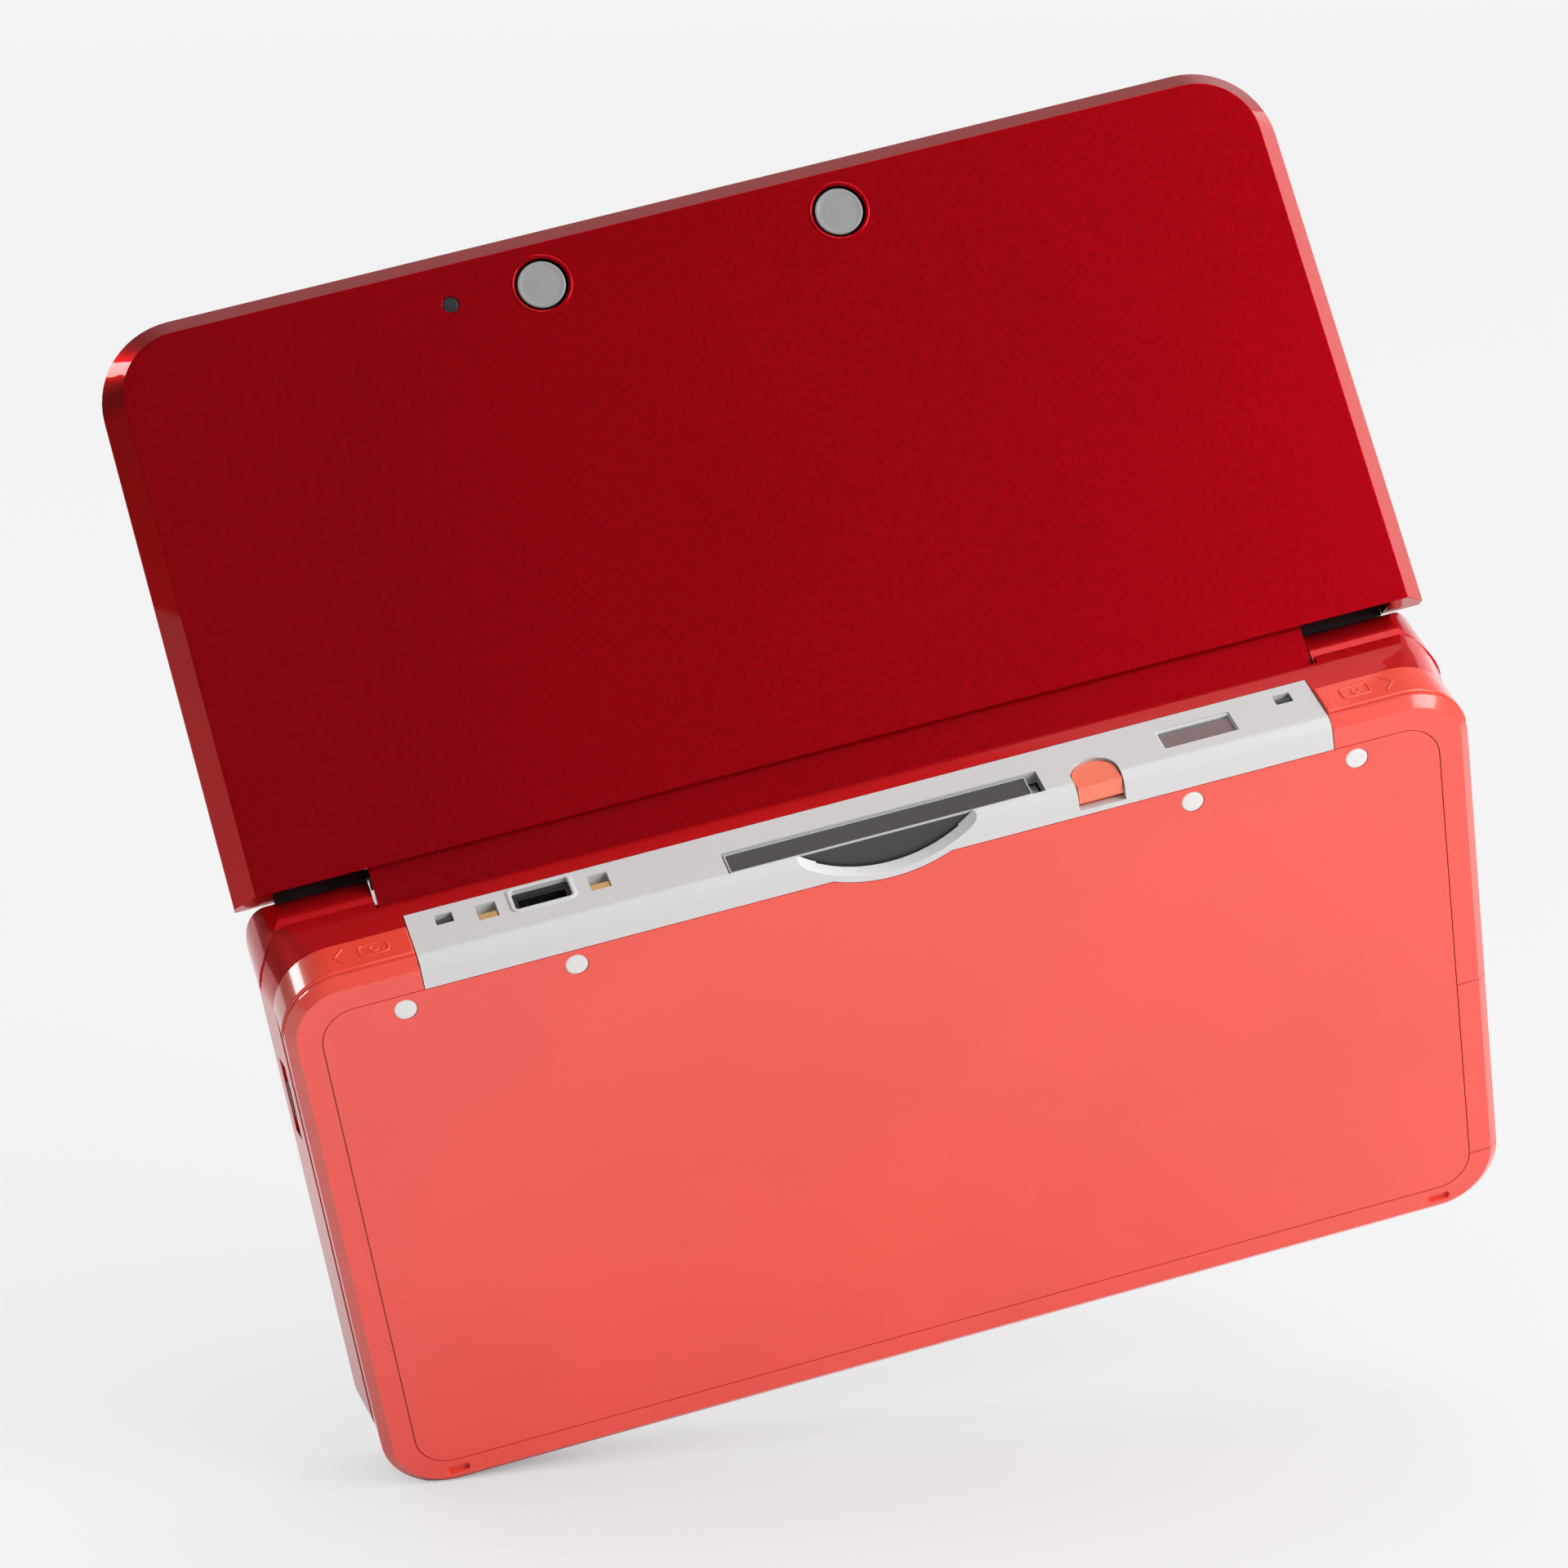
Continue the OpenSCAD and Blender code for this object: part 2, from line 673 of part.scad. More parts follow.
module ir_window() {
    color([0.45, 0.43, 0.47]) block([ir_x - ir_w / 2 + 0.02, band_in, ir_z0 + 0.02],
        [ir_x + ir_w / 2 - 0.02, case_rear - 0.45, ir_z0 + ir_h - 0.02]);
}

module charge_jack() {
    color([0.1, 0.1, 0.1]) difference() {
        block([port_x - port_w / 2 + 0.02, case_rear - port_depth, port_z0 + 0.02],
            [port_x + port_w / 2 - 0.02, case_rear - 0.5, port_z0 + port_h - 0.02]);
        block([port_x - port_w / 2 + 0.5, case_rear - port_depth + 1, port_z0 + 0.5],
            [port_x + port_w / 2 - 0.5, case_rear, port_z0 + port_h - 0.8]);
    }
    color([0.8, 0.7, 0.4])
        block([port_x - 1.9, case_rear - port_depth + 1, port_z0 + 1.3],
            [port_x + 1.9, case_rear - 1.3, port_z0 + 1.8]);
}

module cradle_contacts() {
    color([0.8, 0.65, 0.3]) for (x = contact_x)
        block([x - contact_w / 2 + 0.02, band_in - 1.2, contact_z0 + 0.02],
            [x + contact_w / 2 - 0.02, case_rear - 0.2, contact_z0 + 1.45]);
}

module strap_bars() {
    color([0.25, 0.25, 0.26]) for (x = strap_x)
        bar_x(strap_bar_y, strap_bar_z, x - strap_w / 2 - 0.85, x + strap_w / 2 + 0.85, strap_bar_r);
}

module headphone_jack() {
    front = flat_front - edge + wall;
    color([0.15, 0.15, 0.16]) difference() {
        union() {
            block([jack_x - jack_body / 2, front + 0.05, tray_top + 0.05],
                [jack_x + jack_body / 2, front + jack_l, board_z - 0.3]);
            bar_y(jack_x, jack_z, flat_front - edge + 0.2, front + 1, jack_r + 0.4);
        }
        bar_y(jack_x, jack_z, flat_front - over, front + jack_l - 1, jack_r);
    }
}

module button_membrane() {
    color([0.5, 0.5, 0.52]) {
        pill(control_x, face_y, 2 * (face_pitch + face_r), 2 * (face_pitch + face_r), 4,
            board_top, board_top + membrane_t);
        for (turn = [0, 90, 180, 270]) translate([control_x, face_y, 0]) rotate([0, 0, turn])
            post(face_pitch, 0, board_top, dome_top, face_r - 0.7);
        for (x = [-system_x, 0, system_x]) post(x, system_y, board_top, dome_top, 1.8);
        post(control_x, power_y, board_top, dome_top, 1.8);
    }
}

module pad_module() {
    half = pad_foot / 2 + 2 * pad_travel;
    color([0.3, 0.3, 0.32]) block([-control_x - half, pad_y - half, board_top],
        [-control_x + half, pad_y + half, board_top + 0.5]);
}

module status_leds() {
    color([0.9, 0.6, 0.3]) for (x = led_x)
        block([x - led_w / 2, flat_front - deck_g + 0.5, led_z - 0.5],
            [x + led_w / 2, flat_front + 1.4, led_z + 0.5]);
}

module notice_led() {
    color([0.95, 0.8, 0.7]) intersection() {
        bar_x(hinge_y, hinge_z, notice_x - 2, notice_x + 2, knuckle_r);
        block([0, hinge_y - 2, hinge_z + knuckle_r - 1.15], [over * 2, hinge_y + 2, lid_top]);
    }
}

module hinge_pins() {
    color([0.7, 0.7, 0.72]) {
        bar_x(hinge_y, hinge_z, pin_in, pin_out, pin_r);
        bar_x(hinge_y, hinge_z, -pin_out, -pin_in, pin_r);
    }
}

// ---------- lid, modelled closed ----------

// Layer of the lid between two heights, cut off square at the hinge
module lid_layer(z0, z1, g0, g1, rear) {
    intersection() {
        plate(lid_flat_hw, lid_flat_front, rear + over, lid_flat_r, lid_flat_r, z0, z1, g0, g1);
        block([-over * 2, -over * 2, z0 - 1], [over * 2, rear, z1 + 1]);
    }
}

// Round bars about the hinge, over the knuckles between the barrel and the cheeks of the lid
module knuckle_bars(x1, r) {
    for (side = [-1, 1])
        bar_x(hinge_y, hinge_z, side > 0 ? barrel_x : -x1, side > 0 ? x1 : -barrel_x, r);
}

module lid_cover() {
    color([0.6, 0.04, 0.08]) on_lid() difference() {
        union() {
            lid_layer(lid_edge_z, lid_top, lid_bevel_w, 0, lid_rear);
            lid_layer(lid_seam, lid_edge_z, lid_bevel_w, lid_bevel_w, lid_rear);
        }
        difference() {
            lid_layer(lid_seam - 1, lid_roof, -0.9, -0.9, lid_rear - lid_wall);
            knuckle_bars(cheek_x + lid_wall, hollow_r + lid_wall);
        }
        knuckle_bars(cheek_x, hollow_r);
        block([-barrel_x, 0, lid_seam - 1], [barrel_x, over, tongue_z1]);
        for (x = lens_x) post(x, lens_y, lid_roof - 1, lid_top + 1, lens_r + lens_groove);
        post(sensor_x, lens_y - 0.2, lid_roof - 1, lid_top + 1, sensor_r + 0.02);
    }
}

module lid_frame() {
    margin = lid_bevel_w - frame_inset;
    color([0.12, 0.02, 0.04]) on_lid() difference() {
        union() {
            lid_layer(lid_under, lid_seam, margin, margin, lid_rear - frame_inset);
            block([-barrel_x, lid_rear - 2, lid_under], [barrel_x, lid_rear - run, lid_seam]);
            // cradles that close the gap to the knuckles
            for (side = [-1, 1]) difference() {
                block([side > 0 ? barrel_x + seam : -cheek_x, lid_rear - 2, lid_under],
                    [side > 0 ? cheek_x : -barrel_x - seam, hinge_y - knuckle_r + 1, lid_seam]);
                bar_x(hinge_y, hinge_z, -over * 2, over * 2, knuckle_r + rest);
            }
        }
        // seat of the inner panel
        translate([0, 0, lid_under - 1]) linear_extrude(plate_z - lid_under + 1)
            round_rect(-panel_hw, panel_front, panel_hw, panel_rear, panel_r);
        // window of the screen
        block([-upper_screen_w / 2 + 2, upper_screen_y - upper_screen_d / 2 + 2, lid_under],
            [upper_screen_w / 2 - 2, upper_screen_y + upper_screen_d / 2 - 2, lid_seam + 1]);
        for (side = [-1, 1], p = speaker_holes())
            post(side * speaker_x + p[0], speaker_y + p[1], lid_under, lid_seam + 1, 0.55);
        depth_slot(play);
        post(0, panel_front + 2.6, lid_under, lid_seam + 1, 2);
        post(depth_x, depth_y + 9, lid_under, lid_seam + 1, 0.62);
    }
}

module hinge_barrel() {
    tongue_hw = barrel_x - 1;
    color([0.55, 0.03, 0.06]) on_lid() difference() {
        union() {
            bar_x(hinge_y, hinge_z, -barrel_x, barrel_x, barrel_r);
            block([-barrel_x, lid_rear, lid_under], [barrel_x, hinge_y, hinge_z + barrel_r]);
            block([-tongue_hw, lid_rear - lid_wall - 3, tongue_z0], [tongue_hw, lid_rear, tongue_z1 - 0.1]);
        }
        for (side = [-1, 1])
            bar_x(hinge_y, hinge_z, side > 0 ? pin_in - 0.5 : -over * 2, side > 0 ? over * 2 : -pin_in + 0.5,
                pin_r + run);
    }
}

// Places of the sound holes of one speaker: two rows of five
function speaker_holes() = [for (col = [-2:2], row = [-0.5, 0.5]) [row * 2.6, col * 2.6]];

// Slot for the knob of the depth slider, with a margin
module depth_slot(margin) {
    block([depth_x - 1.1 - margin, depth_y - knob_l / 2 - depth_travel - margin, lid_under],
        [depth_x + 1.1 + margin, depth_y + knob_l / 2 + depth_travel + margin, lid_seam + 1]);
}

module lid_panel() {
    color([0.03, 0.03, 0.03]) on_lid() difference() {
        translate([0, 0, panel_z]) linear_extrude(panel_t)
            round_rect(-panel_hw + seam, panel_front + seam, panel_hw - seam, panel_rear - seam,
                panel_r - seam);
        for (side = [-1, 1], p = speaker_holes())
            post(side * speaker_x + p[0], speaker_y + p[1], lid_under, lid_seam, 0.55);
        depth_slot(play);
        post(0, panel_front + 2.6, lid_under, lid_seam, 1.6);
        post(depth_x, depth_y + 9, lid_under, lid_seam, 0.62);
    }
}

module upper_screen() {
    color([0.15, 0.16, 0.18]) on_lid()
        pill(0, upper_screen_y, upper_screen_w, upper_screen_d, 0.5, lid_seam + seam,
            lid_seam + seam + upper_screen_t);
}

module outer_lenses() {
    color([0.55, 0.56, 0.58]) on_lid() for (x = lens_x) {
        post(x, lens_y, lid_roof - 0.3, lid_top - 0.15, lens_r);
        post(x, lens_y, lid_roof - 0.3, lid_roof, lens_r + lens_groove);
    }
}

module light_sensor() {
    color([0.15, 0.15, 0.16]) on_lid()
        post(sensor_x, lens_y - 0.2, lid_roof - 0.3, lid_top - 0.1, sensor_r);
}

module camera_module() {
    low = lid_seam + seam;
    color([0.2, 0.2, 0.22]) on_lid() {
        block([lens_x[0] - 4, lens_y - 3, lid_roof - 2.4], [sensor_x + 1.5, lens_y + 3, lid_roof - 1.6]);
        for (x = lens_x) post(x, lens_y, lid_roof - 2, lid_roof - 0.5, 2.4);
        for (x = [lens_x[0] - 2.5, sensor_x])
            post(x, lens_y, low, lid_roof - 2, 1);
    }
}

module inner_camera() {
    color([0.1, 0.1, 0.11]) on_lid() {
        post(0, panel_front + 2.6, panel_z + 0.1, lid_seam - 0.2, 1.4);
        post(0, panel_front + 2.6, lid_seam - 0.4, lid_seam + 0.8, 1.8);
    }
}

module speakers() {
    color([0.35, 0.35, 0.37]) on_lid() for (side = [-1, 1])
        pill(side * speaker_x, speaker_y, 10, 17, 3, lid_seam + seam, lid_seam + seam + 2.6);
}

module depth_led() {
    color([0.6, 0.9, 0.6]) on_lid() post(depth_x, depth_y + 9, panel_z + 0.1, lid_seam - 0.1, 0.6);
}

module lid_bumpers() {
    x = lid_hw - frame_inset - rim_w / 2;
    color([0.08, 0.08, 0.08]) on_lid() for (side = [-1, 1], y = [-18, lid_rear - 6])
        pill(side * x, y, 1.4, 4, 0.6, lid_under - 0.2, lid_under);
}

// ---------- controls ----------

module pad_carriage() {
    half = pad_foot / 2 + pad_travel;
    color([0.85, 0.85, 0.87]) block([-control_x - half, pad_y - half, board_top + 0.6],
        [-control_x + half, pad_y + half, board_top + 1.1]);
}

module circle_pad() {
    color([0.2, 0.2, 0.22]) translate([-control_x, pad_y, 0]) {
        difference() {
            post(0, 0, deck_z - 0.7, cap_top, pad_r);
            translate([0, 0, cap_top + 39.45]) sphere(40);
        }
        post(0, 0, board_top + 1.5, deck_z - 0.6, pad_stem_r);
        block([-pad_foot / 2, -pad_foot / 2, board_top + 1.2], [pad_foot / 2, pad_foot / 2, board_top + 1.9]);
    }
}

module dpad_rocker() {
    color([0.4, 0.4, 0.42]) translate([-control_x, dpad_y, 0]) difference() {
        post(0, 0, board_top + rest, dpad_pivot_z - 0.1, 2.6);
        post(0, 0, board_top - 1, board_top + 2, 1);
    }
}

module dpad() {
    color([0.2, 0.2, 0.22]) translate([-control_x, dpad_y, 0]) {
        difference() {
            translate([0, 0, dpad_flange_z + 0.1]) linear_extrude(cap_top - dpad_flange_z - 0.1)
                cross(0);
            translate([0, 0, cap_top + 29.6]) sphere(30);
        }
        post(0, 0, dpad_flange_z, dpad_flange_z + flange_t, dpad_flange_r);
        post(0, 0, dpad_pivot_z + 0.1, dpad_flange_z + 0.1, 1.6);
    }
}

// One face button, a quarter turn apart on its cluster
module face_button(turn) {
    color([0.85, 0.85, 0.86]) translate([control_x, face_y, 0]) rotate([0, 0, turn]) {
        post(face_pitch, 0, flange_z, cap_top, face_r);
        post(face_pitch, 0, flange_z, flange_z + flange_t, face_r + 0.5);
    }
}

module button_a() { face_button(0); }
module button_x() { face_button(90); }
module button_y() { face_button(180); }
module button_b() { face_button(270); }

// One of the three buttons under the touch panel
module system_button(x) {
    color([0.75, 0.75, 0.77]) {
        pill(x, system_y, system_w, system_d, 1.1, flange_z, deck_z + 0.25);
        pill(x, system_y, system_w + 1.4, system_d + 0.8, 1.2, flange_z, flange_z + flange_t);
    }
}

module select_button() { system_button(-system_x); }
module home_button() { system_button(0); }
module start_button() { system_button(system_x); }

module power_button() {
    color([0.8, 0.8, 0.82]) {
        post(control_x, power_y, flange_z, deck_z + 0.25, power_r);
        post(control_x, power_y, flange_z, flange_z + flange_t, power_r + 0.7);
    }
}

// Knob in a side slot with its foot inside the wall
module side_knob(side, y) {
    foot = cavity_hw - rest;
    tip = flat_hw + (upper_g + deck_g) / 2;
    color([0.12, 0.12, 0.13]) {
        block([side > 0 ? foot - 0.5 : -tip, y - knob_l / 2, side_z - side_h / 2],
            [side > 0 ? tip : -foot + 0.5, y + knob_l / 2, side_z + side_h / 2]);
        block([side > 0 ? foot - 1 : -foot, y - knob_l / 2 - 2, side_z - side_h / 2 - 0.6],
            [side > 0 ? foot : -foot + 1, y + knob_l / 2 + 2, side_z + side_h / 2 + 0.6]);
    }
}

module volume_slider() { side_knob(-1, volume_y); }
module wireless_switch() { side_knob(1, wireless_y); }

module depth_slider() {
    color([0.6, 0.6, 0.62]) on_lid() {
        block([depth_x - 1.1, depth_y - knob_l / 2, panel_z - 0.4],
            [depth_x + 1.1, depth_y + knob_l / 2, lid_seam + 0.4]);
        block([depth_x - 1.8, depth_y - knob_l / 2 - 2, lid_seam + seam],
            [depth_x + 1.8, depth_y + knob_l / 2 + 2, lid_seam + 0.9]);
    }
}

module shoulder(side) {
    color([0.9, 0.28, 0.24]) difference() {
        corner_ring(side, -shoulder_deep + 1, edge + shoulder_proud, shoulder_z0, shoulder_z1,
            shoulder_x, shoulder_y);
        post(side * shoulder_pin_x, shoulder_pin_y, 0, seam_z + 1, shoulder_pin_r + run);
    }
}

module shoulder_left() { shoulder(-1); }
module shoulder_right() { shoulder(1); }

module sd_door() {
    color([0.93, 0.42, 0.37]) intersection() {
        union() {
            case_layer(0, edge_h, 0, edge);
            case_layer(edge_h, seam_z - seam, edge, edge);
        }
        union() {
            block([-over * 2, sd_y0, 0], [sd_door_t - case_w / 2, sd_y1, seam_z]);
            block([-over * 2, sd_y0, 0], [-sd_in, sd_y1, cover_t]);
        }
    }
}

module sd_card() {
    y = (sd_y0 + sd_y1) / 2;
    color([0.1, 0.15, 0.3])
        block([-sd_in - 0.4, y - sd_card_w / 2, sd_z],
            [sd_card_l - sd_in - 0.4, y + sd_card_w / 2, sd_z + sd_card_t]);
}

module game_card() {
    color([0.35, 0.35, 0.36]) block([card_x - card_w / 2, card_back - card_l, card_z],
        [card_x + card_w / 2, card_back, card_z + card_t]);
}

module stylus() {
    half = stylus_w / 2;
    middle = stylus_z + stylus_h - half;
    color([0.95, 0.5, 0.4]) {
        intersection() {
            bar_y(stylus_x, middle, stylus_back - stylus_l, stylus_back, half);
            block([-over, -over, stylus_body_z], [over, over, over]);
        }
        block([stylus_x - half, stylus_back - stylus_l, stylus_body_z],
            [stylus_x + half, stylus_back, middle]);
        block([stylus_x - half, stylus_foot, stylus_z], [stylus_x + half, stylus_back, middle]);
    }
}

bottom_shell();
battery_cover();
cover_screws();
rear_band();
upper_shell();
touch_panel();
lower_screen();
main_board();
board_screws();
battery_pack();
wireless_board();
card_reader();
sd_reader();
ir_window();
charge_jack();
cradle_contacts();
strap_bars();
headphone_jack();
button_membrane();
pad_module();
status_leds();
notice_led();
hinge_pins();
lid_cover();
lid_frame();
hinge_barrel();
lid_panel();
upper_screen();
outer_lenses();
light_sensor();
camera_module();
inner_camera();
speakers();
depth_led();
lid_bumpers();
pad_carriage();
circle_pad();
dpad_rocker();
dpad();
button_a();
button_b();
button_x();
button_y();
select_button();
home_button();
start_button();
power_button();
volume_slider();
wireless_switch();
depth_slider();
shoulder_left();
shoulder_right();
sd_door();
sd_card();
game_card();
stylus();
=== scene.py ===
"""Looks of a clamshell handheld game console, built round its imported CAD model."""

import json
import logging
import math
from dataclasses import dataclass, field
from enum import Enum
from typing import Sequence

import bmesh
import bpy
import numpy as np
from mathutils import Matrix, Vector
from mathutils.geometry import tessellate_polygon

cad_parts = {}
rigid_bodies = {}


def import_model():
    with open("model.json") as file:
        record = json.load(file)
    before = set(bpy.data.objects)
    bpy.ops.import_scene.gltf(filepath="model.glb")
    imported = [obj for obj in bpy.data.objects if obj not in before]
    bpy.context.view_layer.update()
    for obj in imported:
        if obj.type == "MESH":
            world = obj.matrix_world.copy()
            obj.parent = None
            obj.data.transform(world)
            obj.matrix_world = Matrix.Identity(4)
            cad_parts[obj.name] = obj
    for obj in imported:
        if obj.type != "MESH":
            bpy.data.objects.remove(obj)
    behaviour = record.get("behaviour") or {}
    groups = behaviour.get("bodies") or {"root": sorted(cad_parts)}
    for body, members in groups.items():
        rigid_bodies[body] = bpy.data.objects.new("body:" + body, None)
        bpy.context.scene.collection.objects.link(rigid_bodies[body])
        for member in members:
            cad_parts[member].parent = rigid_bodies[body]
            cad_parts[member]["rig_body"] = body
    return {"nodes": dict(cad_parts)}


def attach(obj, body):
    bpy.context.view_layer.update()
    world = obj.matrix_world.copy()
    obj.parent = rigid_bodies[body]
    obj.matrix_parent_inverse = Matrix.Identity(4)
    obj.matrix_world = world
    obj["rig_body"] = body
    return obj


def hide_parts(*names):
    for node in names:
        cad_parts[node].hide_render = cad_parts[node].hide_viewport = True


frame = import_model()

LOG = logging.getLogger("console")
MM = 0.001
RGB = tuple[float, float, float]
Pair = tuple[float, float]
Triple = tuple[float, float, float]
Quad = tuple[float, float, float, float]
Rows = Sequence[Pair] | np.ndarray
Axes = tuple[np.ndarray, np.ndarray, np.ndarray]
Socket = bpy.types.NodeSocket
Inputs = dict[str | int, object]
SMOOTH = {"interpolation_type": "SMOOTHSTEP"}


# ---------- finishes ----------


@dataclass
class Shading:
    """Puts nodes into a tree. A socket given as an input is joined, and anything else is a constant."""

    tree: bpy.types.NodeTree

    def fill(self, node: bpy.types.Node, inputs: Inputs) -> bpy.types.Node:
        """Sets a node's inputs.

        Args:
            node: the node.
            inputs: sockets and constants by the input's name or number.

        Returns:
            The node itself.
        """
        for key, value in inputs.items():
            if isinstance(value, Socket):
                self.tree.links.new(value, node.inputs[key])
            else:
                node.inputs[key].default_value = value
        return node

    def add(self, kind: str, inputs: Inputs | None = None, **settings: object) -> bpy.types.Node:
        """Makes a node.

        Args:
            kind: its type, without the leading ShaderNode.
            inputs: sockets and constants by the input's name or number.
            settings: its other settings.

        Returns:
            The new node.
        """
        node = self.tree.nodes.new("ShaderNode" + kind)
        for name, value in settings.items():
            setattr(node, name, value)
        return self.fill(node, inputs or {})

    def held(self, kind: str) -> bpy.types.Node:
        """Node of a type that the tree already holds."""
        return next(n for n in self.tree.nodes if n.type == kind)

    def reckon(self, operation: str, first: Socket, second: Socket | float) -> Socket:
        """Sum, product, power or larger of two values."""
        return self.add("Math", {0: first, 1: second}, operation=operation).outputs[0]

    def along(self, place: Socket, axis: np.ndarray) -> Socket:
        """Dot product of a place or direction with an axis."""
        return self.add("VectorMath", {0: place, 1: tuple(axis)}, operation="DOT_PRODUCT").outputs["Value"]

    def ranged(self, value: Socket, ends: Quad, **settings: object) -> Socket:
        """Value carried from the range of the first two ends to that of the last two."""
        inputs = dict(zip(("From Min", "From Max", "To Min", "To Max"), ends)) | {"Value": value}
        return self.add("MapRange", inputs, **settings).outputs["Result"]

    def noise(self, place: Socket, scale: float, detail: float) -> Socket:
        """Level of a noise with so many features in a metre."""
        inputs = {"Scale": scale, "Detail": detail, "Vector": place}
        return self.add("TexNoise", inputs).outputs["Fac"]

    def drifting(self, driver: Socket, colour: RGB, spread: float) -> Socket:
        """Colour that drifts from a little darker to a little lighter.

        Args:
            driver: level that it follows, 0 to 1.
            colour: middle of the drift.
            spread: share by which it goes either way.

        Returns:
            The colour.
        """
        ramp = self.add("ValToRGB", {"Fac": driver})
        for stop, at, share in zip(ramp.color_ramp.elements, (0.3, 0.7), (1 - spread, 1 + spread)):
            stop.position = at
            stop.color = (*(min(1.0, c * share) for c in colour), 1)
        return ramp.outputs["Color"]


class Pattern(Enum):
    """What a finish shows on top of its colour."""

    SATIN = "satin"
    BRUSHED = "brushed"
    CIRCUIT = "circuit"
    PEARL = "pearl"


@dataclass(frozen=True)
class Finish:
    """Colour and surface of one material slot.

    Grain, depth and drift are in millimetres: the size and height of the fine texture, and the size of
    the slow change of colour.
    """

    colour: RGB
    roughness: float = 0.35
    metallic: float = 0.0
    spread: float = 0.04
    grain: float = 0.6
    depth: float = 0.002
    drift: float = 30.0
    coat: float = 0.0
    coat_roughness: float = 0.1
    coat_ior: float = 1.5
    specular: float = 0.5
    tint: RGB = (1.0, 1.0, 1.0)
    sheen: float = 0.0
    glow: float = 0.0
    pattern: Pattern = Pattern.SATIN
    bump_strength: float = 0.35
    roughness_spread: float = 0.12
    brushed_scale: Triple = (0.06, 1.0, 1.0)
    tracks_scale: float = 180.0
    tracks_width: float = 0.035
    tracks_colour: RGB = (0.32, 0.42, 0.16)
    flakes_scale: float = 4200.0
    flakes_range: Pair = (0.94, 1.08)

    def material(self, name: str) -> bpy.types.Material:
        """Builds the node material.

        Args:
            name: the slot's name.

        Returns:
            A material whose colour, roughness and bump vary over the piece's own coordinates.
        """
        made = bpy.data.materials.new(name + "_finish")
        made.use_nodes = True
        nodes = Shading(made.node_tree)
        place = nodes.add("TexCoord").outputs["Object"]
        drawn = place
        if self.pattern is Pattern.BRUSHED:
            drawn = nodes.add("Mapping", {"Scale": self.brushed_scale, "Vector": place}).outputs["Vector"]
        fine = nodes.noise(drawn, 1 / (self.grain * MM), 1.0)
        bump = {"Strength": self.bump_strength, "Distance": self.depth * MM, "Height": fine}
        low, high = (self.roughness * (1 + side * self.roughness_spread) for side in (-1, 1))
        inputs: Inputs = {
            "Base Color": self._shade(nodes, place),
            "Roughness": nodes.ranged(fine, (0.25, 0.75, low, high), clamp=False),
            "Normal": nodes.add("Bump", bump).outputs["Normal"],
            "Metallic": self.metallic,
            "Specular IOR Level": self.specular,
            "Specular Tint": (*self.tint, 1),
            "Coat Weight": self.coat,
            "Coat Roughness": self.coat_roughness,
            "Coat IOR": self.coat_ior,
            "Sheen Weight": self.sheen,
        }
        if self.glow:
            inputs |= {"Emission Color": (*self.colour, 1), "Emission Strength": self.glow}
        nodes.fill(nodes.held("BSDF_PRINCIPLED"), inputs)
        made.diffuse_color = (*self.colour, 1)
        return made

    def _shade(self, nodes: Shading, place: Socket) -> Socket:
        """Colour with its slow drift and its pattern.

        A circuit board's copper tracks are the mortar of a brick texture. A pearl paint gets darker and
        lighter in tiny cells, as its flakes do.

        Args:
            nodes: the material's nodes.
            place: the piece's own coordinates.

        Returns:
            The colour.
        """
        slow = nodes.noise(place, 1 / (self.drift * MM), 2.0)
        shade = nodes.drifting(slow, self.colour, self.spread)
        if self.pattern is Pattern.CIRCUIT:
            inputs: Inputs = {"Vector": place, "Scale": self.tracks_scale, "Color1": shade, "Color2": shade}
            inputs |= {"Mortar Size": self.tracks_width, "Mortar": (*self.tracks_colour, 1)}
            return nodes.add("TexBrick", inputs).outputs["Color"]
        if self.pattern is Pattern.PEARL:
            cells = nodes.add("TexVoronoi", {"Scale": self.flakes_scale, "Vector": place})
            lift = nodes.ranged(cells.outputs["Color"], (0.0, 1.0, *self.flakes_range))
            return nodes.add("VectorMath", {0: shade, "Scale": lift}, operation="SCALE").outputs["Vector"]
        return shade


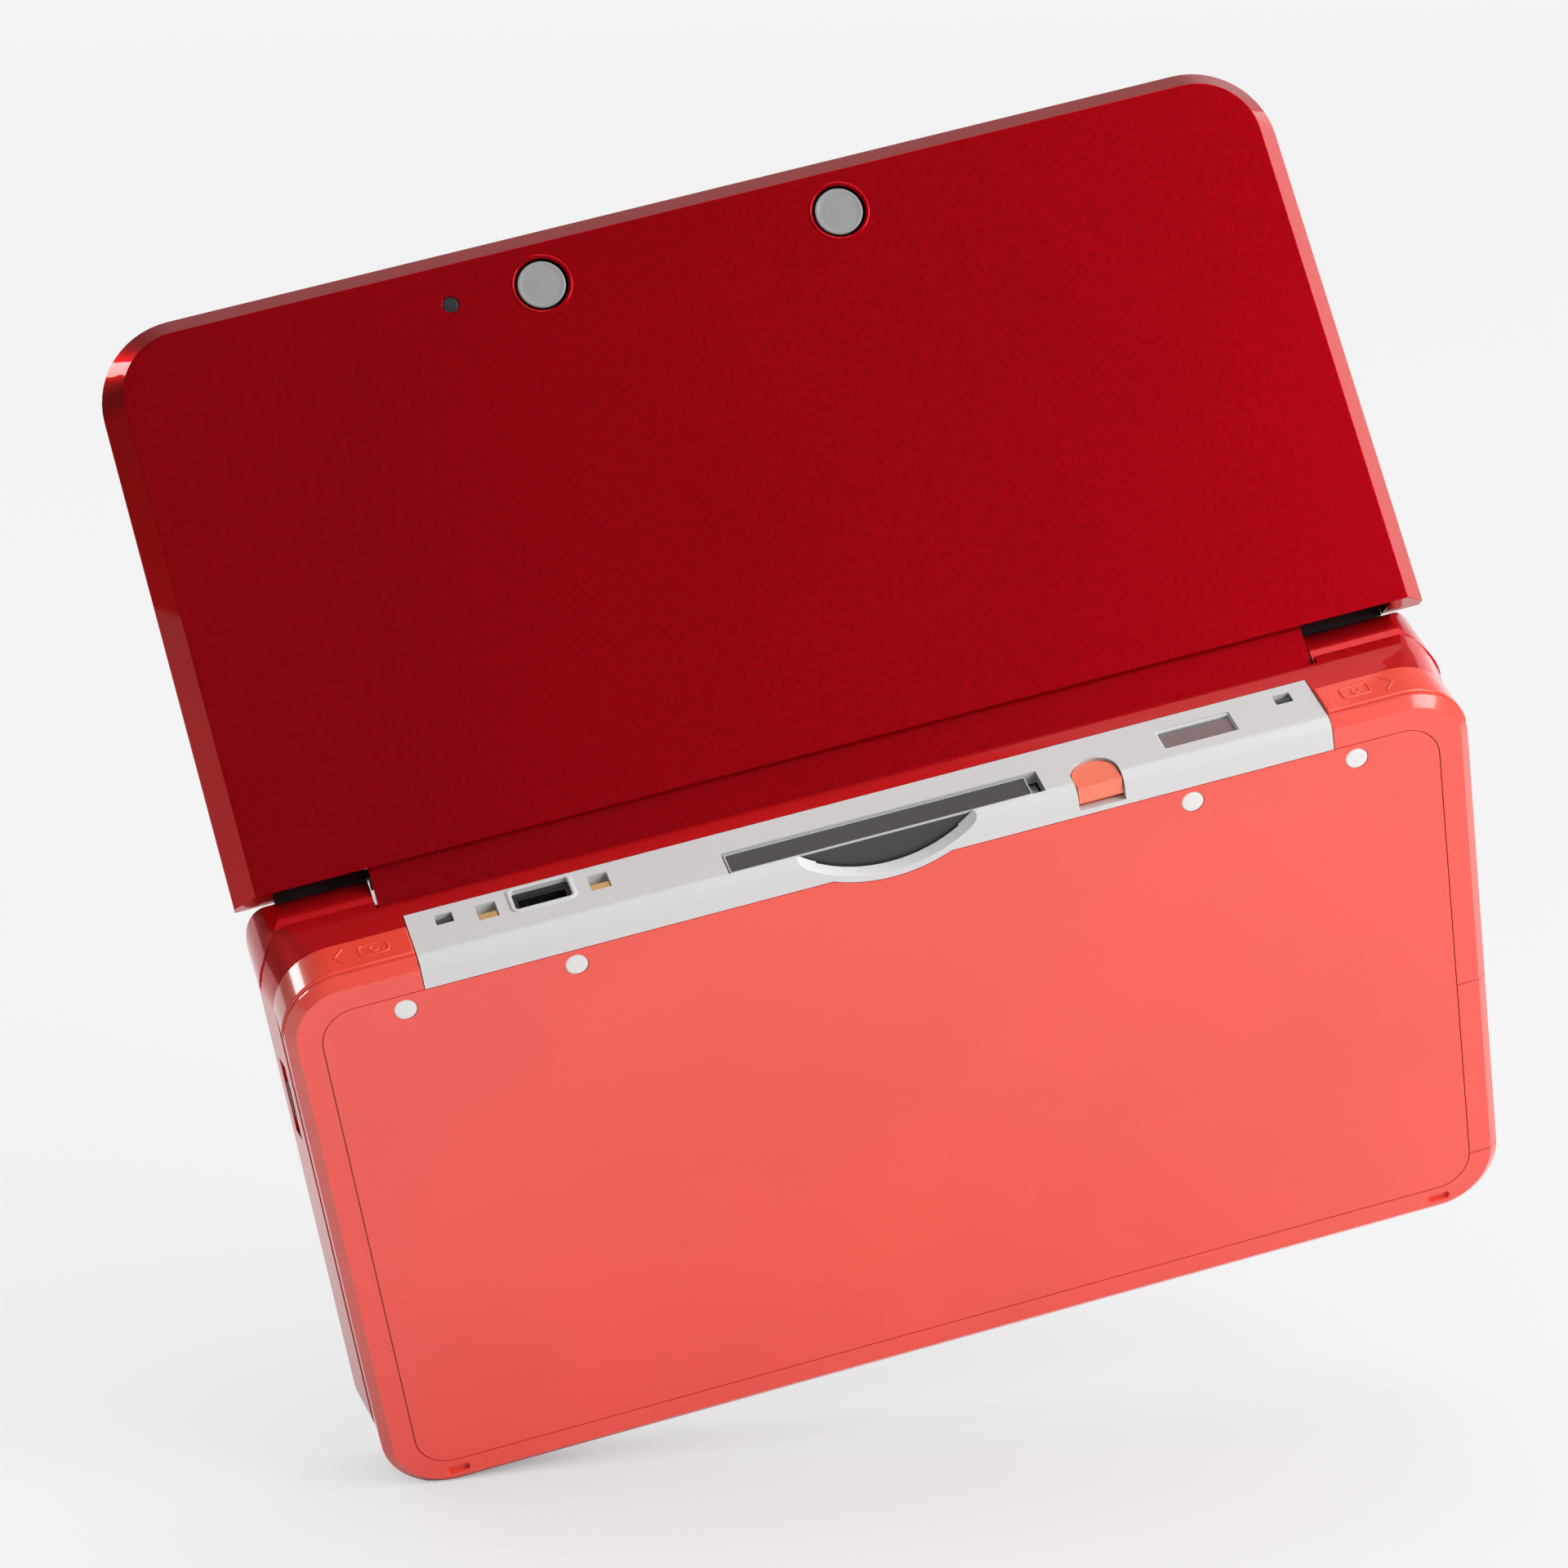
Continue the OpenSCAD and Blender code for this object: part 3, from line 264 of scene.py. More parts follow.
FINISHES: dict[str, Finish] = {
    "coral": Finish((0.90, 0.075, 0.05), 0.32, coat=1.0, coat_roughness=0.12),
    "button_red": Finish((0.92, 0.06, 0.028), 0.3, coat=1.0),
    "stylus_coral": Finish((0.97, 0.20, 0.11), 0.3, coat=1.0),
    "shell_red": Finish(
        (0.60, 0.006, 0.010), 0.34, metallic=0.5, specular=0.12, tint=(1.0, 0.2, 0.16),
        coat=1.0, coat_roughness=0.04, coat_ior=1.3,
    ),
    "lid_red": Finish(
        (0.475, 0.0003, 0.006), 0.34, metallic=0.88, specular=0.06, tint=(1.0, 0.16, 0.12),
        coat=1.0, coat_roughness=0.03, coat_ior=1.2, pattern=Pattern.PEARL,
    ),
    "lid_inner": Finish((0.012, 0.012, 0.014), 0.42, grain=0.25, depth=0.01),
    "pale_band": Finish((0.69, 0.695, 0.70), 0.42, spread=0.01),
    "screw_white": Finish((0.80, 0.80, 0.80), spread=0.02),
    "screen_black": Finish((0.006, 0.006, 0.008), 0.08, spread=0.2, depth=0.0006, coat=0.6),
    "screen_module": Finish((0.009, 0.012, 0.018), 0.1, depth=0.0006, coat=0.8),
    "board": Finish((0.015, 0.11, 0.05), 0.38, pattern=Pattern.CIRCUIT),
    "steel": Finish((0.34, 0.35, 0.37), 0.34, metallic=1.0, pattern=Pattern.BRUSHED),
    "tin": Finish((0.62, 0.62, 0.64), 0.34, metallic=1.0, pattern=Pattern.BRUSHED),
    "gold": Finish((0.82, 0.66, 0.27), 0.3, metallic=0.6, pattern=Pattern.BRUSHED),
    "cell": Finish((0.62, 0.60, 0.55), 0.55),
    "ir_dark": Finish((0.15, 0.15, 0.15), 0.16, coat=0.5),
    "port_black": Finish((0.012, 0.012, 0.013), 0.4),
    "control_grey": Finish((0.045, 0.046, 0.052), 0.46, grain=0.3, depth=0.012),
    "rubber_grey": Finish((0.12, 0.12, 0.125), 0.75, depth=0.015, sheen=0.2),
    "black_plastic": Finish((0.018, 0.018, 0.02), 0.42, depth=0.008),
    "led_clear": Finish((0.82, 0.72, 0.58), 0.2, glow=0.12),
    "lens_grey": Finish((0.33, 0.33, 0.335), 0.22, coat=0.6, spread=0.02),
    "bumper": Finish((0.02, 0.02, 0.02), 0.8, depth=0.012, sheen=0.15),
    "key_silver": Finish((0.50, 0.50, 0.52), 0.3, coat=0.3),
    "card_blue": Finish((0.02, 0.045, 0.16), 0.45, depth=0.01),
    "card_grey": Finish((0.085, 0.085, 0.085), 0.6, specular=0.2, grain=0.3, depth=0.004),
}


class Palette(dict[str, bpy.types.Material]):
    """Materials by their slots, each made when it is first asked for."""

    def __missing__(self, slot: str) -> bpy.types.Material:
        """Makes the material of a slot."""
        self[slot] = FINISHES[slot].material(slot)
        return self[slot]


# ---------- surfaces ----------


def round_loop(x0: float, y0: float, x1: float, y1: float, radius: float, steps: int) -> np.ndarray:
    """Outline of a rounded rectangle, anticlockwise.

    Each corner is a quarter circle: its centre plus the radius times cosine and sine.

    Args:
        x0, y0, x1, y1: the rectangle's sides in millimetres.
        radius: corner radius.
        steps: points on each corner.

    Returns:
        Points of shape (4 * steps, 2).
    """
    left, low, right, high = x0 + radius, y0 + radius, x1 - radius, y1 - radius
    middles = np.array([(right, high), (left, high), (left, low), (right, low)])
    turn = np.linspace(0, math.pi / 2, steps) + np.arange(4)[:, None] * math.pi / 2
    corners = middles[:, None] + radius * np.stack([np.cos(turn), np.sin(turn)], -1)
    return corners.reshape(-1, 2)


def ring_loop(x: float, y: float, radius: float, steps: int) -> np.ndarray:
    """Circle about a point, anticlockwise, of shape (steps, 2)."""
    turn = np.linspace(0, 2 * math.pi, steps, endpoint=False)
    return np.stack([x + radius * np.cos(turn), y + radius * np.sin(turn)], -1)


def softened_line(points: Rows, radius: float | np.ndarray, steps: int = 6) -> np.ndarray:
    """Line through points whose inner corners are rounded.

    At each corner a parabola runs from a point before it to a point after it, each at the radius or at
    just under half the shorter side, with the corner as the middle point that it leans to.

    Args:
        points: corners of the line.
        radius: distance from each corner at which the rounding starts, one or one for each corner.
        steps: points on each rounding.

    Returns:
        Points of shape (n, 2).
    """
    p = np.array(points, float)
    t = np.linspace(0, 1, steps)[:, None]
    made = [p[:1]]
    starts = np.broadcast_to(radius, len(p) - 2)
    for before, corner, after, start in zip(p[:-2], p[1:-1], p[2:], starts):
        back, on = before - corner, after - corner
        reach = min(start, 0.49 * np.linalg.norm(back), 0.49 * np.linalg.norm(on))
        a = corner + back / np.linalg.norm(back) * reach
        b = corner + on / np.linalg.norm(on) * reach
        made.append((1 - t) ** 2 * a + 2 * t * (1 - t) * corner + t**2 * b)
    made.append(p[-1:])
    return np.concatenate(made)


@dataclass(frozen=True)
class Plane:
    """Flat place in the row frame with two directions along it; their cross product faces outwards."""

    origin: Triple
    across: Triple
    along: Triple

    def lift(self, loop: np.ndarray, height: float | np.ndarray = 0.0) -> np.ndarray:
        """Carries plane points to the row frame.

        Args:
            loop: points of shape (..., 2).
            height: distance outwards from the plane, one or one for each point.

        Returns:
            Points of shape (..., 3).
        """
        u, v = np.array(self.across, float), np.array(self.along, float)
        out = np.cross(u, v)
        rise = np.broadcast_to(np.asarray(height, float), loop.shape[:-1])[..., None]
        return np.array(self.origin, float) + loop[..., :1] * u + loop[..., 1:] * v + rise * out


def level(height: float) -> Plane:
    """Plane that faces up at a height."""
    return Plane((0, 0, height), (1, 0, 0), (0, 1, 0))


def beneath(height: float) -> Plane:
    """Plane that faces down at a height."""
    return Plane((0, 0, height), (1, 0, 0), (0, -1, 0))


def rearward(depth: float) -> Plane:
    """Plane that faces the rear at a depth."""
    return Plane((0, depth, 0), (-1, 0, 0), (0, 0, 1))


UNDER = beneath(0)
REAR = rearward(36.8)


@dataclass
class Skin:
    """Surface put together from grids of points and flat caps, in millimetres of the row frame."""

    points: list[np.ndarray] = field(default_factory=list)
    faces: list[list[int]] = field(default_factory=list)

    def _keep(self, points: np.ndarray) -> int:
        """Stores points and returns the number of the first."""
        self.points.append(points.reshape(-1, 3))
        return sum(map(len, self.points[:-1]))

    def grid(self, points: np.ndarray, closed: bool = True) -> "Skin":
        """Joins the rows of a grid with four-sided faces.

        Args:
            points: shape (rows, columns, 3).
            closed: joins the last column to the first.

        Returns:
            The skin itself.
        """
        rows, columns = points.shape[:2]
        index = self._keep(points) + np.arange(rows * columns).reshape(rows, columns)
        if closed:
            index = np.concatenate([index, index[:, :1]], 1)
        quads = np.stack([index[:-1, :-1], index[:-1, 1:], index[1:, 1:], index[1:, :-1]], -1)
        self.faces.extend(quads.reshape(-1, 4).tolist())
        return self

    def cap(self, loop: np.ndarray) -> "Skin":
        """Fills a flat outline.

        Args:
            loop: the outline, of shape (n, 3).

        Returns:
            The skin itself.
        """
        first = self._keep(loop)
        triangles = tessellate_polygon([[Vector(p) for p in loop]])
        self.faces.extend([[first + i for i in t] for t in triangles])
        return self

    def tower(self, rings: np.ndarray) -> "Skin":
        """Closed stack of rings, of shape (rows, columns, 3), with a cap at each end."""
        return self.grid(rings).cap(rings[0]).cap(rings[-1])

    def mesh(self, name: str, matrix: np.ndarray | None = None) -> bpy.types.Mesh:
        """Puts the surface into a mesh.

        Args:
            name: the mesh's name.
            matrix: turn and move applied to the points first, in millimetres.

        Returns:
            The mesh, in metres.
        """
        made = bpy.data.meshes.new(name)
        points = np.concatenate(self.points)
        if matrix is not None:
            points = points @ matrix[:3, :3].T + matrix[:3, 3]
        made.from_pydata((points * MM).tolist(), [], self.faces)
        return made

    def piece(
        self, name: str, body: str, slot: str, matrix: np.ndarray | None = None,
        stands_for: Sequence[str] = (),
    ) -> None:
        """Makes a dressed piece of the surface and hangs it on its body.

        Args:
            name: the piece's name.
            body: the CAD body it moves with.
            slot: the material slot of its finish.
            matrix: turn and move applied to the points first, in millimetres.
            stands_for: CAD nodes that it replaces.
        """
        finish_piece(self.mesh(name, matrix), name, body, slot, stands_for)


def linked(name: str, data: bpy.types.ID) -> bpy.types.Object:
    """Makes an object in the scene.

    Args:
        name: its name.
        data: its mesh, light or camera.

    Returns:
        The new object.
    """
    made = bpy.data.objects.new(name, data)
    bpy.context.scene.collection.objects.link(made)
    return made


SHARP = 28.0
MERGED = 0.0015 * MM
SLIVER = 0.001 * MM
FLAT = math.radians(0.4)


def finish_piece(
    mesh: bpy.types.Mesh, name: str, body: str, slot: str, stands_for: Sequence[str],
    edge: float = 0.0, sharp: float = SHARP,
) -> None:
    """Merges, turns outwards and smooths a mesh, and makes it a piece.

    Args:
        mesh: geometry in metres in the row frame.
        name: the piece's name.
        body: the CAD body it moves with.
        slot: the material slot of its finish.
        stands_for: CAD nodes that it replaces.
        edge: width of a small rounding on its sharp edges, in millimetres.
        sharp: smallest bend in degrees that counts as an edge.
    """
    work = bmesh.new()
    work.from_mesh(mesh)
    bmesh.ops.remove_doubles(work, verts=work.verts, dist=MERGED)
    bmesh.ops.dissolve_degenerate(work, edges=work.edges, dist=SLIVER)
    bmesh.ops.dissolve_limit(work, angle_limit=FLAT, verts=work.verts, edges=work.edges)
    bmesh.ops.recalc_face_normals(work, faces=work.faces)
    bmesh.ops.triangulate(work, faces=[f for f in work.faces if len(f.verts) > 4])
    work.to_mesh(mesh)
    work.free()
    mesh.shade_smooth()
    made = linked(name, mesh)
    mesh.materials.append(PALETTE[slot])
    if edge:
        bevel = made.modifiers.new("rounding", "BEVEL")
        bevel.width = edge * MM
        bevel.segments = 3
        bevel.limit_method = "ANGLE"
        bevel.angle_limit = math.radians(sharp)
        bevel.miter_outer = "MITER_ARC"
    mesh.set_sharp_from_angle(angle=math.radians(sharp))
    flat = made.modifiers.new("facing", "WEIGHTED_NORMAL")
    flat.keep_sharp = True
    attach(made, body)
    if stands_for:
        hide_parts(*stands_for)
    LOG.info("piece %s: %d faces on %s, finish %s", name, len(mesh.polygons), body, slot)


def eased(node: str, slot: str, edge: float, sharp: float = SHARP) -> None:
    """Copy of a CAD node with its sharp edges rounded, which stands for it.

    Args:
        node: the CAD node.
        slot: the material slot of its finish.
        edge: width of the rounding in millimetres.
        sharp: smallest bend in degrees that is rounded.
    """
    source = frame["nodes"][node]
    mesh = source.data.copy()
    mesh.materials.clear()
    finish_piece(mesh, node + "_eased", source["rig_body"], slot, (node,), edge, sharp)


PALETTE = Palette()


def lathe(centre: Sequence[float], profile: np.ndarray, steps: int = 64) -> np.ndarray:
    """Turns a profile about an upright axis.

    A point at radius r and height h goes to the centre plus (r cos t, r sin t, h).

    Args:
        centre: x and y of the axis.
        profile: radius and height, of shape (rows, 2).
        steps: columns.

    Returns:
        Rings of shape (rows, steps, 3).
    """
    t = np.linspace(0, 2 * math.pi, steps, endpoint=False)
    r, h = profile[:, :1], profile[:, 1:]
    return np.stack([centre[0] + r * np.cos(t), centre[1] + r * np.sin(t), h + 0 * t], -1)


BEAD_SINK = 0.12


def bead(path: np.ndarray, plane: Plane, width: float, rise: float, closed: bool = False) -> np.ndarray:
    """Low rounded ridge along a line in a plane.

    Its section is half an ellipse, width across and rise high, carried along the line square to the
    line's direction; both feet go down below the plane so that the ridge stays closed.

    Args:
        path: points of shape (n, 2) in the plane.
        plane: the plane.
        width, rise: size of the section in millimetres.
        closed: whether the line comes back to its first point.

    Returns:
        Rings of shape (n or n + 1, 9, 3).
    """
    if closed:
        path = np.concatenate([path, path[:1]])
        along = np.gradient(np.concatenate([path[-2:-1], path, path[1:2]]), axis=0)[1:-1]
    else:
        along = np.gradient(path, axis=0)
    along /= np.linalg.norm(along, axis=1, keepdims=True)
    side = np.stack([along[:, 1], -along[:, 0]], -1)
    t = np.linspace(0, math.pi, 7)
    off = np.concatenate([[width / 2], width / 2 * np.cos(t), [-width / 2]])
    high = np.concatenate([[-BEAD_SINK], rise * np.sin(t), [-BEAD_SINK]])
    flat = path[:, None] + side[:, None] * off[None, :, None]
    return plane.lift(flat, np.broadcast_to(high, flat.shape[:2]))


LEAST_RADIUS = 0.02


def frame_rings(plane: Plane, box: Quad, radius: float, line: np.ndarray) -> np.ndarray:
    """Rings of a rounded rectangle grown and lifted along a profile.

    The corner radius grows with it, down to a least radius.

    Args:
        plane: the plane of the rectangle.
        box: its sides in the plane.
        radius: its corner radius.
        line: rows of margin and height.

    Returns:
        Rings of shape (rows, columns, 3).
    """
    x0, y0, x1, y1 = box
    rings = [
        plane.lift(round_loop(x0 - g, y0 - g, x1 + g, y1 + g, max(radius + g, LEAST_RADIUS), 8), h)
        for g, h in line
    ]
    return np.stack(rings)


def display_plate(plane: Plane, width: float, depth: float, middle: float) -> Skin:
    """Picture area of a screen: a rounded rectangle 0.02 mm proud of the glass, with an eased rim.

    Args:
        plane: the glass.
        width, depth: size in millimetres.
        middle: place of its centre along the plane.

    Returns:
        The closed surface.
    """
    box = (-width / 2, middle - depth / 2, width / 2, middle + depth / 2)
    line = np.array([(0.0, -0.15), (0.0, 0.005), (-0.06, 0.02)])
    return Skin().tower(frame_rings(plane, box, 0.4, line))


# ---------- sub-assemblies ----------


@dataclass
class Lid:
    """The lid: modelled closed, then turned open about the hinge.

    The sensor is given by x, y and radius, and the display by width, depth and middle.
    """

    top_z: float = 21.0
    hinge_y: float = 32.51
    hinge_z: float = 15.45
    opened: float = 134.1
    lens_x: Pair = (-16.38, 17.45)
    lens_y: float = -29.92
    lens_r: float = 2.64
    groove: float = 0.35
    sensor: Triple = (27.65, -30.12, 0.9)
    glass_z: float = 13.7
    display: Triple = (77.2, 46.3, 1.0)

    def opening(self) -> np.ndarray:
        """Matrix that turns the closed lid open, in millimetres."""
        to = Matrix.Translation((0, self.hinge_y, self.hinge_z))
        return np.array(to @ Matrix.Rotation(math.radians(-self.opened), 4, "X") @ to.inverted(), float)

    def wells(self) -> None:
        """Rims round the two lenses: each a profile turned about the lens's axis.

        The profile comes up the wall of the lens's hole, rolls over a small lip that stands 0.05 mm
        proud of the lid, and runs out flush with it.
        """
        skin = Skin()
        hole, top = self.lens_r + self.groove, self.top_z
        wall = [(hole - 0.03, top - 0.9), (hole - 0.03, top - 0.1)]
        lip = [(hole + 0.12, top + 0.05), (hole + 0.34, top + 0.03)]
        foot = [(hole + 0.46, top - 0.04), (hole + 0.46, top - 0.2)]
        line = softened_line([*wall, *lip, *foot], 0.12, 5)
        for x in self.lens_x:
            skin.grid(np.concatenate([rings := lathe((x, self.lens_y), line, 72), rings[:1]]))
        skin.piece("lens_rims", "lid", "lid_red", self.opening())

    def lenses(self) -> None:
        """Two outer camera lenses, discs with a faint dome and a stepped rim, and the sensor's dot."""
        skin = Skin()
        top, edge = self.top_z - 0.1, self.lens_r
        rim = softened_line([(edge, top - 0.5), (edge, top), (edge - 0.3, top)], 0.12, 5)
        r = np.linspace(edge - 0.34, 0.05, 12)
        dome = np.stack([r, top - 0.03 + 0.06 * (1 - (r / edge) ** 2)], -1)
        line = np.concatenate([rim, dome])
        for x in self.lens_x:
            skin.tower(lathe((x, self.lens_y), line))
        skin.piece("lens_discs", "lid", "lens_grey", self.opening(), ("outer_lenses",))
        x, y, r = self.sensor
        dot = softened_line([(r, top - 0.5), (r, top), (0.05, top)], 0.15, 5)
        Skin().tower(lathe((x, y), dot, 40)).piece(
            "sensor_dot", "lid", "black_plastic", self.opening(), ("light_sensor",)
        )

    def build(self) -> None:
        """Makes every piece of the lid."""
        self.wells()
        self.lenses()
        plate = display_plate(beneath(self.glass_z), *self.display)
        plate.piece("upper_display", "lid", "screen_module", self.opening())
        eased("lid_cover", "lid_red", 0.3)
        eased("hinge_barrel", "lid_red", 0.25)
        eased("lid_frame", "lid_inner", 0.3)
        eased("lid_panel", "screen_black", 0.12)
        eased("lid_bumpers", "bumper", 0.25)
        eased("depth_slider", "key_silver", 0.25)


@dataclass
class Screw:
    """Head of a cover screw, seen from below. The shank is given by radius and ends."""

    radius: float = 1.22
    sink: float = 0.02
    cross: float = 0.72
    arm: float = 0.09
    depth: float = 0.02
    back: float = 0.56
    shank: Triple = (0.7, 0.5, 3.3)

    def heights(self, x: np.ndarray, y: np.ndarray) -> np.ndarray:
        """Height of the head's face over the plane of the underside.

        A shallow dome falls away with the square of the radius and its rim with the twelfth power. A
        cross of two arms along the axes is sunk into it with soft walls.

        Args:
            x, y: places from the screw's axis.

        Returns:
            Heights, negative into the case.
        """
        r = np.hypot(x, y) / self.radius

        def bar(long: np.ndarray, short: np.ndarray) -> np.ndarray:
            """One on an arm of the cross and nought beyond it."""
            ends = np.clip((self.cross - np.abs(long)) / 0.1, 0, 1)
            return ends * np.clip((self.arm - np.abs(short)) / 0.06, 0, 1)

        sunk = np.maximum(bar(x, y), bar(y, x))
        return -self.sink - 0.02 * r**2 - 0.06 * r**12 - self.depth * sunk

    def rings(self, x: float, y: float, rows: int = 26, columns: int = 72) -> np.ndarray:
        """Face of a head as rings from its rim to its middle.

        Args:
            x, y: the screw's axis.
            rows, columns: points along the radius and round it.

        Returns:
            Rings of shape (rows + 1, columns, 3).
        """
        t = np.linspace(0, 2 * math.pi, columns, endpoint=False)
        r = np.linspace(self.radius, 0.02, rows)[:, None]
        u, v = r * np.cos(t), r * np.sin(t)
        face = UNDER.lift(np.stack([x + u, -y + v], -1), self.heights(u, v))
        back = face[:1].copy()
        back[..., 2] = self.back
        return np.concatenate([back, face])

    def stem(self, x: float, y: float) -> np.ndarray:
        """Shank about an axis at x and y, as two rings."""
        radius, low, high = self.shank
        return lathe((x, y), np.array([[radius, low], [radius, high]]), 24)


@dataclass
class Shoulder:
    """Shoulder button with two raised marks on its rear face."""

    side: int
    face: float = 37.05
    frame_x: float = 54.3
    tip_x: float = 58.6

    @property
    def name(self) -> str:
        """The player's side that it is on."""
        return "left" if self.side < 0 else "right"

    def marks(self) -> None:
        """A rounded frame with a ring in it, and a chevron, as low beads on the flat of the face."""
        plane = rearward(self.face)
        centre = -self.side * self.frame_x
        frame_line = round_loop(centre - 1.55, 3.1, centre + 1.55, 4.9, 0.45, 6)
        ring = ring_loop(centre, 3.95, 0.42, 28)
        tip = -self.side * self.tip_x
        tail = tip + self.side * 1.1
        chevron = softened_line([(tail, 5.3), (tip, 4.0), (tail, 2.7)], 0.4)
        skin = Skin().grid(bead(frame_line, plane, 0.3, 0.09, True))
        skin.grid(bead(ring, plane, 0.24, 0.08, True)).tower(bead(chevron, plane, 0.3, 0.09))
        skin.piece("shoulder_marks_" + self.name, "shoulder_" + self.name, "button_red")

    def build(self) -> None:
        """Makes the button and its marks."""
        self.marks()
        eased("shoulder_" + self.name, "button_red", 0.4)


@dataclass
class Underside:
    """Bottom shell, battery cover and its screws.

    A mould line is given by how far it lies aside of a screw and starts behind it, its width and rise.
    """

    screws: tuple[float, ...] = (-52.65, -34.1, 34.1, 52.65)
    screw_y: float = 31.22
    cover_rear: float = 33.0
    mould_line: Quad = (1.06, 0.65, 0.07, 0.012)
    screw: Screw = field(default_factory=Screw)

    def heads(self) -> None:
        """Four screw heads with their shanks, and a fine mould line behind each."""
        skin = Skin()
        for x in self.screws:
            skin.tower(self.screw.rings(x, self.screw_y))
            skin.tower(self.screw.stem(x, self.screw_y))
        skin.piece("screw_heads", "base", "screw_white", stands_for=("cover_screws",))
        lines = Skin()
        aside, start, width, rise = self.mould_line
        run = np.linspace(-self.screw_y - start, -self.cover_rear, 9)
        for x in self.screws:
            lines.tower(bead(np.stack([np.full(9, x - aside), run], -1), UNDER, width, rise))
        lines.piece("mould_lines", "base", "coral")

    def build(self) -> None:
        """Makes every piece of the underside."""
        self.heads()
        eased("bottom_shell", "coral", 0.22)
        eased("battery_cover", "coral", 0.1)
        eased("sd_door", "coral", 0.12)
        eased("rear_band", "pale_band", 0.16)


@dataclass
class Deck:
    """Upper shell and the controls on it, seen by the player.

    The pad and the power button are given by x, y and radius; the skirt by radius and heights; the flange
    and the tray by heights; the D-pad by x, y, width and width of an arm; its dish by radius and depth;
    the display by width, depth and middle.
    """

    deck_z: float = 12.5
    cap_top: float = 13.05
    flange: Pair = (10.4, 11.1)
    control_x: float = 50.01
    face_y: float = 6.0
    pitch: float = 7.6
    face_r: float = 3.7
    pad: Triple = (-50.01, 11.0, 8.6)
    skirt: Triple = (8.4, 10.75, 11.25)
    tray: Triple = (10.15, 10.4, 10.9)
    dpad: Quad = (-50.01, -13.0, 20.0, 6.8)
    dish: Pair = (3.2, 0.35)
    power: Triple = (50.01, -22.0, 2.8)
    glass_drop: float = 0.2
    display: Triple = (61.4, 46.0, 0.0)

    def stem(self, radius: float, brim: float, top: np.ndarray) -> np.ndarray:
        """Profile of a button from under its flange up to the start of its top.

        Args:
            radius: radius of the cap.
            brim: how far the flange stands out beyond it.
            top: radius and height at which the top starts.

        Returns:
            Rows of radius and height.
        """
        low, high = self.flange
        flange = np.array([(radius + brim, low), (radius + brim, high), (radius, high)])
        edge = softened_line([(radius, high + 0.1), (radius, top[1] - 0.15), tuple(top)], 0.3)
        return np.concatenate([flange, edge])

    def face_buttons(self) -> None:
        """Four domed buttons, each with a sunk ring, turned about their axes.

        The height falls from the middle with the square of the radius by 0.35 mm; a cosine-shaped ring
        0.05 mm deep lies at 0.62 of the radius.
        """
        r = np.linspace(self.face_r - 0.45, 0.03, 26)
        share = r / self.face_r
        ring = 0.05 * np.cos(np.clip((share - 0.62) / 0.07, -1, 1) * math.pi / 2)
        top = np.stack([r, self.cap_top - 0.35 * share**2 - ring], -1)
        line = np.concatenate([self.stem(self.face_r, 0.5, top[0]), top[1:]])
        for name, aside, up in (("a", 1, 0), ("x", 0, 1), ("y", -1, 0), ("b", 0, -1)):
            centre = (self.control_x + self.pitch * aside, self.face_y + self.pitch * up)
            node = "button_" + name
            skin = Skin().tower(lathe(centre, line))
            skin.piece(node + "_dome", node, "key_silver", stands_for=(node,))

    def pad_cap(self) -> None:
        """Circle pad: a dish with a rolled rim and fine ridges round it, on a stem with a skirt.

        The dish is a parabola 0.5 mm deep. The rim is a bell curve 0.04 mm high that carries 72 cosine
        ridges of 0.03 mm.
        """
        x, y, radius = self.pad
        t = np.linspace(0, 2 * math.pi, 288, endpoint=False)
        outer, inner = np.linspace(radius - 0.1, radius - 1.6, 12), np.linspace(radius - 1.9, 0.04, 18)
        r = np.concatenate([outer, inner])[:, None]
        share = np.clip(r / (radius - 1.8), 0, 1)
        top = self.cap_top - 0.02
        height = np.where(r > radius - 1.8, 0.0, -0.5 * (1 - share**2)) + 0 * t
        rim = np.exp(-(((r - radius + 1.0) / 0.5) ** 2))
        height = top + height - 0.06 + rim * (0.04 + 0.03 * np.cos(72 * t))
        face = np.stack([x + r * np.cos(t), y + r * np.sin(t), height], -1)
        side = np.array([[radius - 0.02, 11.8], [radius - 0.02, top - 0.24]])
        skin = Skin().tower(np.concatenate([lathe((x, y), side, t.size), face]))
        skin.tower(lathe((x, y), np.array([[3.0, 9.4], [3.0, 11.95]])))
        edge, low, high = self.skirt
        skirt = softened_line([(0.5, low), (edge, low), (edge, low + 0.2), (0.5, high)], 0.08)
        skin.tower(lathe((x, y), skirt, 96))
        foot = round_loop(x - 4, y - 4, x + 4, y + 4, 0.4, 5)
        skin.tower(np.stack([level(h).lift(foot) for h in (9.0, 9.7)]))
        skin.piece("pad_dish", "circle_pad", "control_grey", stands_for=("circle_pad",))

    def pad_well(self) -> None:
        """Dark tray round the pad's stem: a ring-shaped profile turned about the pad's axis."""
        x, y, radius = self.pad
        inner, outer = radius - 2.6, radius + 4.0
        low, floor, high = self.tray
        line = [(inner, low), (outer, low), (outer, high), (outer - 0.5, high), (outer - 1.2, floor)]
        rings = lathe((x, y), softened_line([*line, (inner, floor), line[0]], 0.2), 96)
        Skin().grid(rings).piece("pad_well", "base", "black_plastic")

